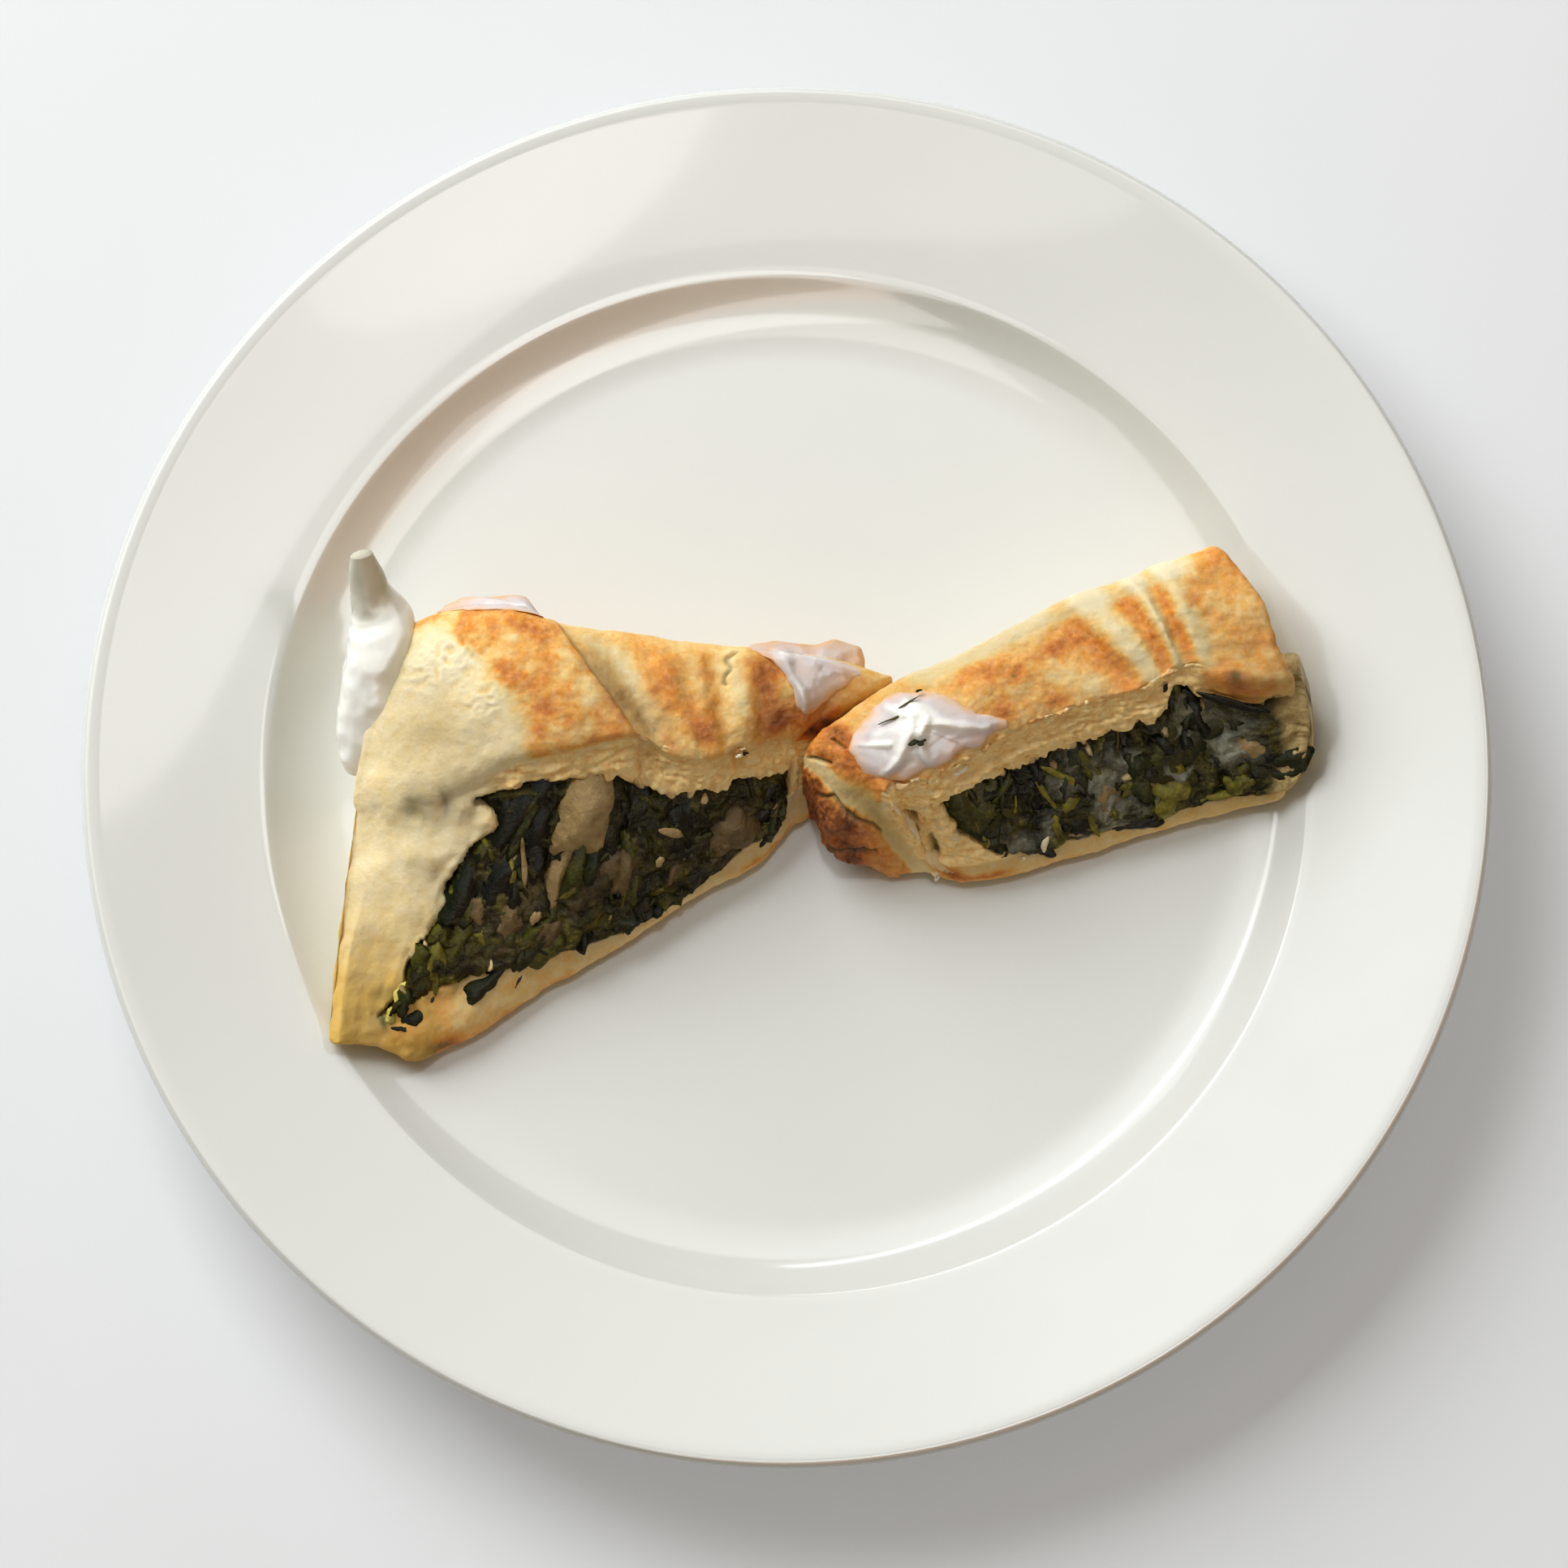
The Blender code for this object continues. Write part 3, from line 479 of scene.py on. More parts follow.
def end_rings(ring, outward, rounding, dome, rings):
    """Rings that close a tube's end, from its last ring to near its middle.

    The first ones follow a quarter circle of the rounding's radius, or of most of a smaller
    ring's. The others shrink evenly to the middle and rise by dome times 1 less the squared
    share still to go."""
    middle = ring.mean(axis=0)
    reach = np.linalg.norm(ring - middle, axis=1)
    turn = np.linspace(0.0, np.pi / 2, QUARTER_RINGS + 1)[1:, None]
    rounding_share = np.minimum(rounding / reach, MOST_ROUNDING)
    shrink = 1.0 - rounding_share * (1.0 - np.cos(turn))
    rise = rounding * np.sin(turn) * np.ones_like(shrink)
    inner = np.linspace(1.0, 0.0, rings + 1)[1:-1, None]
    shrink = np.concatenate([shrink, shrink[-1] * inner])
    rise = np.concatenate([rise, rounding + dome * (1.0 - inner**2) * np.ones_like(shrink[-1])])
    points = middle + (ring - middle) * shrink[..., None] + outward * rise[..., None]
    return points, shrink, middle + outward * (rounding + dome)


def tube_frame(slice_, u, s, rounding, dome, rings):
    """Grid of a whole skin with rings towards the middle of both ends: points, u, s and shrink.

    Each end faces along the line from the middle of the third ring in to that of the outermost."""
    grid = slice_.around(u, s)
    middles = grid.mean(axis=1)
    parts = []
    for at, step in ((0, 3), (-1, -4)):
        parts.append(end_rings(grid[at], unit(middles[at] - middles[step]), rounding, dome, rings))
    first, last = parts
    points = np.concatenate([first[0][::-1], grid, last[0]])
    shrink = np.concatenate([first[1][::-1], np.ones(grid.shape[:2]), last[1]])
    more = ((len(first[0]), len(last[0])), (0, 0))
    return points, np.pad(u, more, "edge"), np.pad(s, more, "edge"), shrink


def eased(grid, weight, passes):
    """The grid with its points drawn towards the mean of their neighbours around it, over and
    over, each by half its weight. This rounds the folds between crust, side and foot."""
    for _ in range(passes):
        mean = 0.5 * (np.roll(grid, 1, axis=1) + np.roll(grid, -1, axis=1))
        grid = grid + 0.5 * weight[..., None] * (mean - grid)
    return grid


BODY_ROWS = 300
BODY_COLUMNS = (
    (-0.6, -0.3, 8), (-0.3, 0.0, 22), (0.0, 0.16, 26), (0.16, 1.0, 82), (1.0, 1.6, 72), (1.6, 2.0, 34),
    (2.0, 2.1, 5),
)
START_MARGIN = 2.2
END_ROUNDING = 2.4
END_DOME = 0.6
END_RINGS = 22
EASE_ALL = 10
EASE_ROUND = 150


def body_columns():
    """Places around a pastry: runs of even steps, closest on the crust and the window."""
    return np.concatenate([np.linspace(a, b, n, endpoint=False) for a, b, n in BODY_COLUMNS])


def pastry_body(slice_, end_margin, roundness, details, seed):
    """Skin of a pastry, eased where it is round, and pushed along its normals by its details.

    Its rings stop START_MARGIN and end_margin short of its ends, to leave room for rounding."""
    length = slice_.span[0]
    along = np.linspace(START_MARGIN / length, 1.0 - end_margin / length, BODY_ROWS)
    u, s = np.meshgrid(along, body_columns(), indexing="ij")
    points, u, s, shrink = tube_frame(slice_, u, s, END_ROUNDING, END_DOME, END_RINGS)
    points = eased(points, np.ones(u.shape), EASE_ALL)
    points = eased(points, roundness(u, s), EASE_ROUND)
    normal = normals_of(points)
    if ((points - points.mean(axis=(0, 1))) * normal).sum() < 0.0:
        normal = -normal
    values = details(slice_, points, u, s, shrink, seed)
    height = values.pop("height")
    points = points + normal * height[..., None]
    ends = [np.mean(points[at], axis=0) for at in (0, -1)]
    flat = np.concatenate([points.reshape(-1, 3), ends])
    return flat, closed_faces(*points.shape[:2]), with_poles(values)


# ---------------------------------------- how each pastry is broken and baked
WINDOW_DEPTH = 6.0
WINDOW_EDGE = 1.3


def window_inside(slice_, points, u, s, shrink):
    """Millimetres inside the window, with a ragged border, and below zero outside it."""
    top, base, start, end = slice_.borders(u, s)
    ragged = noise(points, 3.4, 3) + 0.6 * noise(points, 1.3, 4)
    inside = np.minimum(top + ragged, base + 0.8 * ragged)
    inside = np.minimum(inside, np.minimum(start + 1.6 * ragged, end))
    return np.where((s > 1.0) & (s < 2.0) & (shrink > 0.999), inside, -9.0)


def wandering(points, u, s, seed, drift):
    """The place (u, s), pushed about by broad and by fine noise."""
    wu = u + drift * noise(points, 8.0, seed + 20) + 0.006 * noise(points, 2.0, seed + 22)
    ws = s + 0.05 * noise(points, 8.0, seed + 21) + 0.02 * noise(points, 2.0, seed + 23)
    return wu, ws


def over_crust(s):
    """1 over the top crust, and 0 on the back wall and the open side."""
    return rises(s, -0.05, 0.08) * falls(s, 1.0, 0.06)


def flaky(points, seed):
    """Torn layers: sharp folds drawn out level, and rough noise."""
    layers = folds(points * (0.5, 0.5, 2.6), 2.6, 3, seed + 11)
    return 0.45 * layers + 0.5 * rough(points, 1.7, 3, seed + 17)


def left_roundness(u, s):
    """1 over the left piece's unbroken side wall and corner, where crust and side run together."""
    wall = falls(u, 0.2, 0.12)
    return wall * rises(s, 0.55, 0.2) * falls(s, 1.85, 0.1)


def right_roundness(u, s):
    """1 over the right piece's closed end."""
    return falls(u, 0.14, 0.06) * rises(s, 0.6, 0.2) * (s < 1.9)


# The line where the big flap of the left crust starts: s, u.
LEFT_FLAP_EDGE = (
    (0.0, 0.19), (0.15, 0.15), (0.4, 0.25), (0.55, 0.28), (0.7, 0.31), (0.95, 0.31), (1.3, 0.33),
)
LEFT_CRACK = ((0.782, 0.08), (0.77, 0.2), (0.776, 0.27), (0.76, 0.42))
LEFT_CRUST_SIZE = (110.0, 30.0)
LEFT_SLIT = ((0.765, 1.03), (0.775, 1.2))
LEFT_FACE_SIZE = (110.0, 32.0)
RIGHT_CRUST_SIZE = (90.0, 24.0)
RIGHT_CRACKS = (
    ((0.095, 0.3), (0.125, 0.5), (0.112, 0.8), (0.125, 1.3)), ((0.155, 0.05), (0.178, 0.35)),
    ((0.24, 0.2), (0.236, 0.36)), ((0.04, 0.75), (0.06, 1.2)), ((0.02, 0.5), (0.05, 0.9)),
)


def left_details(slice_, points, u, s, shrink, seed):
    """Relief and baking of the left pastry, with painted shade and highlight, each a sum of spots, edges
    and noise.
    """
    wu, ws = wandering(points, u, s, seed, 0.018)
    inside = window_inside(slice_, points, u, s, shrink)
    on_crust = over_crust(s)
    diagonal = np.interp(ws, *zip(*LEFT_FLAP_EDGE))
    flap = smooth_step((wu - diagonal) / 0.05) * falls(u, 0.499, 0.008)
    beyond = rises(u, 0.5, 0.01)
    bake = 0.1 + 0.47 * flap * falls(s, 1.0, 0.14)
    bake += 0.26 * beyond * falls(s, 1.4, 0.15)
    # Browning spots. Those at u 0.455 that lower it paint light on the flap's right end, which slopes away
    # from the key light, and the one at u 0.575 is a painted highlight.
    bake += spots(wu, ws, (
        (0.1, 0.06, 0.09, 0.06, 0.5), (0.28, 0.45, 0.035, 0.1, 0.2), (0.3, 0.52, 0.035, 0.06, 0.12),
        (0.385, 0.72, 0.018, 0.07, 0.06), (0.43, 0.37, 0.012, 0.03, 0.18), (0.36, 0.2, 0.06, 0.08, 0.1),
        (0.32, 0.25, 0.025, 0.05, -0.26), (0.35, 0.46, 0.018, 0.07, -0.16), (0.4, 0.92, 0.04, 0.05, -0.2),
        (0.285, 0.35, 0.035, 0.035, -0.22), (0.455, 0.72, 0.035, 0.16, -0.16),
        (0.455, 0.42, 0.045, 0.28, -0.13), (0.645, 0.34, 0.042, 0.32, 0.26),
        (0.66, 0.62, 0.035, 0.12, 0.08), (0.73, 0.3, 0.012, 0.35, 0.22), (0.705, 0.78, 0.04, 0.18, 0.36),
        (0.6, 0.95, 0.018, 0.12, 0.3), (0.825, 0.35, 0.024, 0.3, 0.42), (0.86, 0.78, 0.055, 0.2, 0.44),
        (0.95, 0.3, 0.03, 0.3, 0.15), (0.94, 0.75, 0.04, 0.2, 0.25), (0.995, 0.78, 0.02, 0.25, 0.7),
        (0.575, 0.42, 0.02, 0.22, -0.24), (0.778, 0.45, 0.014, 0.5, -0.14),
    )) * on_crust
    low_wall = rises(s, 1.35, 0.4) * falls(u, 0.2, 0.1)
    foot = rises(s, 1.55, 0.12) * rises(u, 0.1, 0.08)
    foot *= 1.0 - 0.35 * rises(u, 0.42, 0.1)
    bake += 0.26 * low_wall + 0.24 * foot
    bake += spots(wu, ws, (
        (0.24, 1.93, 0.06, 0.07, 0.5), (0.3, 2.0, 0.06, 0.05, 0.2), (0.87, 1.93, 0.035, 0.07, 0.35),
        (0.6, 2.02, 0.3, 0.04, 0.22), (0.95, 1.97, 0.05, 0.1, 0.3),
    ))
    bake += 0.1 * rough(points, 3.4, 3, seed + 1) * (0.4 + flap)
    bake += 0.28 * (1.0 - shrink) * rises(u, 0.5, 0.1)
    torn = smooth_step((s - 1.07 - 0.05 * rough(points, 3.4, 3, seed + 5)) / 0.05) * rises(u, 0.26, 0.06)
    torn *= falls(s, 1.5, 0.06)
    thin = 0.25 * rises(wu, 0.505, 0.01) * falls(wu, 0.6, 0.04)
    torn = np.maximum(torn, thin * rises(ws, 0.35, 0.3) * falls(s, 1.3, 0.1))
    stain = spots(wu, ws, (
        (0.15, 1.1, 0.018, 0.09, 0.6), (0.212, 1.12, 0.012, 0.09, 0.5), (0.135, 1.66, 0.03, 0.03, 0.4),
        (0.12, 1.77, 0.014, 0.04, 0.9), (0.18, 1.15, 0.05, 0.07, 0.2),
    ))
    patchy = 0.6 + 0.6 * noise(points, 4.0, seed + 15)
    stain += 0.3 * bell(inside + 0.6, 1.3) * patchy * (u < 0.36) * (s > 1.3)
    crack = path_distance(wu, ws, LEFT_CRACK, LEFT_CRUST_SIZE)
    slit = path_distance(u, s, LEFT_SLIT, LEFT_FACE_SIZE)
    # The crack is darkened too: painted shade in it.
    stain += 0.6 * bell(crack, 0.4) * on_crust
    height = -0.8 * bell(crack, 0.5) * on_crust - 2.4 * bell(slit, 1.4)
    height += 0.22 * rough(points, 2.2, 3, seed + 7) * (0.4 + bake)
    height += 0.55 * noise(points, 9.0, seed + 8) + 0.25 * noise(points, 4.5, seed + 9)
    streaks = spots(u, s, ((0.17, 0.32, 0.1, 0.16, 1.0), (0.27, 0.62, 0.05, 0.12, 0.8)))
    streaky = folds(points * (1.0, 1.0, 0.5), 2.4, 3, seed + 10)
    height += 0.34 * streaks * streaky
    bake += streaks * (0.16 - 0.34 * np.clip(streaky, 0.0, 1.0))
    height += torn * (flaky(points, seed) - 0.5 + 1.4 * rises(s, 1.04, 0.28))
    height += 1.6 * spots(wu, s, ((0.22, 1.33, 0.07, 0.05, 1.0), (0.26, 1.8, 0.09, 0.13, 0.9)))
    height += 0.3 * bell(inside + 1.7, 1.2) * (s < 1.5)
    height += 0.8 * bell(inside + 2.0, 2.5) * noise(points, 3.2, seed + 16) * (u < 0.4)
    height -= WINDOW_DEPTH * smooth_step(inside / WINDOW_EDGE)
    oil = 0.95 * low_wall * (0.7 + 0.3 * noise(points, 6.0, seed + 14)) + spots(wu, ws, (
        (0.05, 1.0, 0.12, 0.5, 0.12), (0.2, 0.7, 0.1, 0.2, 0.22), (0.0, 1.95, 0.05, 0.1, 0.5),
    ))
    # Painted shade: patches where a grey darkens the crust, as beside the flap's step.
    dusk = spots(wu, ws, (
        (0.53, 0.65, 0.04, 0.4, 1.0), (0.6, 0.8, 0.05, 0.25, 0.35), (0.86, 0.72, 0.05, 0.25, 0.5),
        (0.96, 0.55, 0.04, 0.5, 0.6), (0.17, 0.68, 0.08, 0.3, 0.45), (0.825, 0.35, 0.03, 0.3, 0.25),
        (0.07, 0.45, 0.05, 0.25, 0.2),
    ))
    return dict(height=height, bake=bake, torn=torn, stain=stain, oil=oil, dusk=dusk)


def right_details(slice_, points, u, s, shrink, seed):
    """Relief and baking of the right pastry, with painted shade and highlight, each a sum of spots, edges
    and noise.
    """
    wu, ws = wandering(points, u, s, seed, 0.016)
    inside = window_inside(slice_, points, u, s, shrink)
    on_crust = over_crust(s)
    end_wall = falls(wu, 0.115, 0.02) * (1.0 - 0.45 * rises(ws, 0.75, 0.4))
    rim = rises(wu, 0.16, 0.02) * falls(wu, 0.25, 0.05) * on_crust
    bake = 0.3 + 0.56 * end_wall + 0.42 * rim
    bake += 0.14 * rises(wu, 0.22, 0.05) * on_crust
    along = u - right_slant(u, s)
    # Browner in the pleats' hollows and paler near their crests: painted shade and painted highlight.
    bake += on_crust * (0.22 * pleats(along, ((0.69, 1.0), (0.785, 1.0), (0.845, 1.0))))
    bake -= on_crust * (0.3 * pleats(along, ((0.735, 1.0), (0.82, 1.0), (0.88, 0.8))))
    back = rises(wu, 0.4, 0.04) * falls(ws, 0.14, 0.14) * (s > -0.25)
    bake -= 0.34 * back * falls(wu, 0.9, 0.05)
    bake += spots(wu, ws, (
        (0.53, 0.36, 0.035, 0.14, 0.22), (0.573, 0.52, 0.02, 0.08, 0.22), (0.65, 0.42, 0.04, 0.08, 0.26),
        (0.52, 0.76, 0.03, 0.12, 0.26), (0.62, 0.88, 0.03, 0.08, 0.22), (0.6, 0.6, 0.02, 0.05, 0.1),
        (0.66, 0.7, 0.03, 0.08, -0.12), (0.97, 0.15, 0.04, 0.16, 0.18), (0.91, 0.45, 0.014, 0.08, 0.22),
        (0.71, 0.85, 0.03, 0.1, -0.2), (0.47, 0.15, 0.04, 0.06, 0.06), (0.98, 0.75, 0.03, 0.12, 0.12),
    )) * on_crust
    bake += spots(wu, ws, (
        (0.27, 1.85, 0.05, 0.16, 0.5), (0.38, 1.93, 0.07, 0.08, 0.4), (0.94, 1.17, 0.03, 0.16, 0.4),
        (0.6, 2.02, 0.2, 0.04, 0.2), (0.15, 1.7, 0.05, 0.3, -0.1), (0.147, 0.7, 0.02, 0.6, -0.16),
        (0.2, 1.12, 0.03, 0.16, -0.26),
    ))
    bake += 0.09 * rough(points, 3.4, 3, seed + 1)
    bake += 0.2 * (1.0 - shrink) * (u > 0.5) * (s < 1.0)
    torn = smooth_step((s - 1.0 - 0.07 * rough(points, 2.4, 3, seed + 5)) / 0.025) * rises(u, 0.17, 0.03)
    torn *= falls(s, 1.68, 0.06) * falls(u, 0.895, 0.02)
    torn = np.maximum(torn, smooth_step((0.5 - shrink) / 0.2) * (u > 0.5))
    split = sum(bell(path_distance(u, s, path, RIGHT_CRUST_SIZE), 0.4) for path in RIGHT_CRACKS)
    stain = spots(u, s, ((0.94, 1.1, 0.006, 0.05, 0.9), (0.573, 0.51, 0.004, 0.02, 0.9)))
    # The cracks are darkened: painted shade in them.
    stain += 0.7 * np.minimum(split, 1.0)
    height = -0.9 * split + 0.22 * rough(points, 2.0, 3, seed + 7) * (0.4 + bake)
    height += 0.5 * noise(points, 9.0, seed + 8) + 0.25 * noise(points, 4.5, seed + 9)
    height += 0.35 * end_wall * folds(points * (1.6, 1.6, 0.8), 3.0, 3, seed + 12)
    height += torn * (flaky(points, seed) - 0.6 + 1.4 * rises(s, 1.0, 0.3))
    hollow = spots(u, s, ((0.25, 1.42, 0.05, 0.14, 1.0), (0.22, 1.62, 0.04, 0.1, 0.6)))
    height += 2.4 * spots(wu, s, ((0.2, 1.1, 0.028, 0.14, 1.0),)) - 3.4 * hollow
    height += hollow * 1.3 * folds(points * (1.4, 1.4, 1.0), 2.6, 3, seed + 13)
    holes = spots(u, s, (
        (0.242, 1.4, 0.01, 0.05, 1.0), (0.272, 1.56, 0.012, 0.06, 1.0), (0.262, 1.62, 0.008, 0.04, 1.0),
    ))
    height -= 2.0 * holes
    # The holes are darkened: painted shade in them.
    stain += 0.8 * holes
    height += 1.5 * spots(u, s, ((0.94, 1.17, 0.04, 0.15, 1.0),))
    height += 0.7 * bell(inside + 1.7, 1.2) * (s < 1.5)
    height -= WINDOW_DEPTH * smooth_step(inside / WINDOW_EDGE)
    oil = spots(wu, ws, (
        (0.15, 1.0, 0.03, 0.6, 0.6), (0.9, 1.9, 0.2, 0.2, 0.3), (0.47, 0.12, 0.2, 0.1, 0.2),
    ))
    # Painted shade: patches where a grey darkens the crust.
    dusk = spots(wu, ws, (
        (0.55, 0.08, 0.3, 0.16, 0.42), (0.97, 1.15, 0.05, 0.2, 0.4), (0.02, 0.9, 0.04, 0.8, 0.3),
        (0.15, 0.9, 0.03, 0.7, 0.6),
    ))
    return dict(height=height, bake=bake, torn=torn, stain=stain, oil=oil, dusk=dusk)


# ---------------------------------------- filling
# Where a filling is pale with cheese: u, s, half length, half width, amount.
LEFT_CHEESY = (
    (0.53, 1.5, 0.035, 0.05, 0.5), (0.8, 1.57, 0.07, 0.12, 0.5), (0.44, 1.62, 0.04, 0.04, 0.35),
    (0.36, 1.5, 0.03, 0.06, 0.4), (0.34, 1.62, 0.05, 0.03, 0.45), (0.47, 1.55, 0.03, 0.05, 0.35),
    (0.3, 1.45, 0.02, 0.08, 0.3), (0.56, 1.62, 0.02, 0.05, 0.3),
)
RIGHT_CHEESY = (
    (0.685, 1.57, 0.03, 0.12, 0.85), (0.775, 1.6, 0.035, 0.09, 0.8), (0.925, 1.5, 0.03, 0.08, 1.0),
    (0.59, 1.45, 0.04, 0.04, 0.6), (0.47, 1.66, 0.045, 0.06, 0.7), (0.87, 1.36, 0.03, 0.09, 0.85),
    (0.65, 1.74, 0.05, 0.03, 0.7), (0.73, 1.45, 0.03, 0.06, 0.6), (0.56, 1.62, 0.02, 0.06, 0.5),
    (0.83, 1.55, 0.02, 0.05, 0.65), (0.64, 1.36, 0.03, 0.04, 0.45),
)
# How a filling's ends are closed: rounding, dome and rings.
FIRST_END = (1.5, 0.4, 14)
LAST_END = (2.2, 1.0, 26)
FILLING_ROWS = 260
FILLING_COLUMNS = 120
BACK_COLUMNS = 14
BACK_DEPTH = 9.0
SWELL = 3.6
SUNK_BORDER = 3.2
SUNK_LITTER = 2.6
DOUGH_FROM = 0.962
SLIT_PLACE = 0.62
SLIT_WIDTH = 0.09
SLIT_ABOVE = 14.0


def filling_surface(slice_, u, share):
    """Point and outward normal of a filling's front, before its lumps, at shares of its window."""
    w = slice_.window_at(u, share)
    step_u = slice_.face(np.clip(u + 0.01, 0.0, 1.0), w) - slice_.face(np.clip(u - 0.01, 0.0, 1.0), w)
    step_w = slice_.face(u, np.clip(w + 0.03, 0.0, 1.0)) - slice_.face(u, np.clip(w - 0.03, 0.0, 1.0))
    normal = unit(np.cross(step_w, step_u))
    return slice_.face(u, w), normal * np.sign(-normal[..., 1:2])


def wrinkled(points, seed):
    """Crumpled greens: folded noise on places that another noise has pushed about."""
    pushed = points + 2.0 * np.stack([noise(points, 4.0, seed + k) for k in (1, 2, 3)], axis=-1)
    return 0.95 * folds(pushed, 5.0, 2, seed + 4) + 0.3 * folds(pushed, 2.0, 2, seed + 5)


def swelling(slice_, points, u, s):
    """Height of a filling before its wrinkles: up by SWELL inside its borders, and broad noise."""
    top, base, start, end = slice_.borders(u, s)
    inside = np.minimum(np.minimum(top, base + 1.2), np.minimum(start, end))
    return SWELL * rises(inside, -1.0, SWELL) + 0.8 * noise(points, 7.0, slice_.seed + 6)


def filling_skin(slice_):
    """The filling's front as a surface of (u, s), without its wrinkles."""
    def skin(u, s):
        """Point of that surface."""
        top = slice_.window_at(u, 0.0)
        share = (s - 1.0 - top) / (slice_.window_at(u, 1.0) - top)
        point, normal = filling_surface(slice_, u, share)
        height = swelling(slice_, point, u, s) - SUNK_LITTER
        return point + normal * height[..., None]
    return skin


def filling_body(slice_, first, last, cheesy, end_dough, cream):
    """Closed lump: its wrinkled front, and a back a set way inwards, with both ends closed.

    Its last end is dough by a share, but for a dark slit high up on it."""
    seed = slice_.seed
    front = np.linspace(-0.1, 1.12, FILLING_COLUMNS)
    u, share = np.meshgrid(np.linspace(first, last, FILLING_ROWS), front, indexing="ij")
    s = 1.0 + slice_.window_at(u, share)
    point, normal = filling_surface(slice_, u, share)
    height = swelling(slice_, point, u, s) + wrinkled(point, seed) - SUNK_BORDER
    behind = np.linspace(1.0, 0.0, BACK_COLUMNS + 2)[1:-1]
    index = (behind * (FILLING_COLUMNS - 1)).astype(int)
    back = point[:, index] - BACK_DEPTH * normal[:, index]
    loop = np.concatenate([point + normal * height[..., None], back], axis=1)
    middles = loop.mean(axis=1)
    before, _, first_pole = end_rings(loop[0], unit(middles[0] - middles[5]), *FIRST_END)
    after, shrink, last_pole = end_rings(loop[-1], unit(middles[-1] - middles[-6]), *LAST_END)
    grid = np.concatenate([before[::-1], loop, after])
    s = np.pad(s, ((0, 0), (0, BACK_COLUMNS)), constant_values=2.5)
    u = np.pad(u, ((0, 0), (0, BACK_COLUMNS)), "edge")
    marks = spots(u + 0.02 * noise(loop, 5.0, seed + 32), s + 0.05 * noise(loop, 4.0, seed + 33), cheesy)
    marks = np.pad(marks, ((len(before), len(after)), (0, 0)))
    # The wrinkle term is painted shade and highlight: the folded noise that also crumples the front darkens
    # the greens in its troughs and lightens them on its crests. The rough noise is their own uneven tone.
    tone = 0.14 + 0.16 * wrinkled(grid, seed)
    tone += 0.26 * rough(grid, 7.0, 3, seed + 30) + 0.08 * rough(grid, 1.6, 2, seed + 31)
    dough = end_dough * smooth_step((u + 0.012 * noise(loop, 6.0, seed + 37) - DOUGH_FROM) / 0.015)
    slit = bell(shrink - SLIT_PLACE - 0.05 * noise(after, 6.0, seed + 38), SLIT_WIDTH)
    slit *= after[..., 2] > SLIT_ABOVE
    dough = np.concatenate([np.zeros(before.shape[:2]), dough, end_dough * (1.0 - 0.95 * slit)])
    points = np.concatenate([grid.reshape(-1, 3), [first_pole, last_pole]])
    values = dict(tone=tone, cheese=marks, dough=dough, cream=np.full(tone.shape, cream))
    return points, closed_faces(*grid.shape[:2]), with_poles(values)


def pillow_faces(rows, columns, count):
    """Faces of closed pillows, each a grid and a second one that shares its border."""
    index = np.arange(rows * columns).reshape(rows, columns)
    under = index.copy()
    inner = (rows - 2) * (columns - 2)
    under[1:-1, 1:-1] = rows * columns + np.arange(inner).reshape(rows - 2, columns - 2)
    one = np.concatenate([quads(index), quads(under)[:, ::-1]])
    return (one + (rows * columns + inner) * np.arange(count)[:, None, None]).reshape(-1, 4)


LEAF_GRID = (13, 9)
LUMP_GRID = (13, 11)
SMALL_GRID = (9, 7)
RIM_WAVES = ((2, 0.2), (3, 0.16), (5, 0.1))


def drape(skin, seed, places, halves, turns, lifts, thick, crumple, curl, scale, grid, ragged=1.0):
    """Closed thin pillows laid over a skin of (u, s).

    A square grid is bent to a disc, made ragged by three waves of the angle, stretched to its
    half sizes and turned. Each point lies on the skin there, lifted along its normal by a set
    height, by crumpling noise and by curl times the squared share of the way to its rim.
    The two sides part by thick times the root of the share of the way in from the rim."""
    places, halves = np.asarray(places, float), np.asarray(halves, float)
    count = len(places)
    draw = np.random.default_rng(seed)
    each = (turns, lifts, thick, crumple, curl)
    turns, lifts, thick, crumple, curl = (np.broadcast_to(value, count)[:, None, None] for value in each)
    a, b = np.meshgrid(*(np.linspace(-1.0, 1.0, n) for n in grid), indexing="ij")
    x, y = a * np.sqrt(1.0 - b**2 / 2), b * np.sqrt(1.0 - a**2 / 2)
    inwards = 1.0 - np.maximum(np.abs(a), np.abs(b))
    angle = np.arctan2(y, x)
    phases = draw.uniform(0.0, 2.0 * np.pi, (3, count, 1, 1))
    waves = sum(size * np.sin(k * angle + phase) for (k, size), phase in zip(RIM_WAVES, phases))
    out = 1.0 + ragged * waves
    side, down = x * out * halves[:, None, None, 0], y * out * halves[:, None, None, 1]
    across = side * np.cos(turns) - down * np.sin(turns)
    along = side * np.sin(turns) + down * np.cos(turns)
    u = places[:, None, None, 0] + across / scale[0]
    s = places[:, None, None, 1] + along / scale[1]
    point = skin(u, s)
    normal = unit(np.cross(skin(u, s + 0.02) - skin(u, s - 0.02), skin(u + 0.006, s) - skin(u - 0.006, s)))
    own = np.broadcast_to(9.0 * np.arange(count)[:, None, None], side.shape)
    own_place = np.stack([side, down, own], axis=-1)
    wrinkle = noise(own_place, 3.0, seed) + 0.6 * noise(own_place, 1.3, seed + 1)
    height = lifts + crumple * wrinkle + curl * (x**2 + y**2)
    half = 0.5 * thick * np.sqrt(np.clip(inwards, 0.0, 1.0) * 1.6 + 1e-6)
    half[:, inwards < 1e-6] = 0.0
    middle = point + normal * height[..., None]
    over, under = middle + normal * half[..., None], middle - normal * half[..., None]
    flat = np.concatenate([over.reshape(count, -1, 3), under[:, 1:-1, 1:-1].reshape(count, -1, 3)], axis=1)
    return flat, pillow_faces(*grid, count)


# ---------------------------------------- plate
PLATE_STEPS = 288


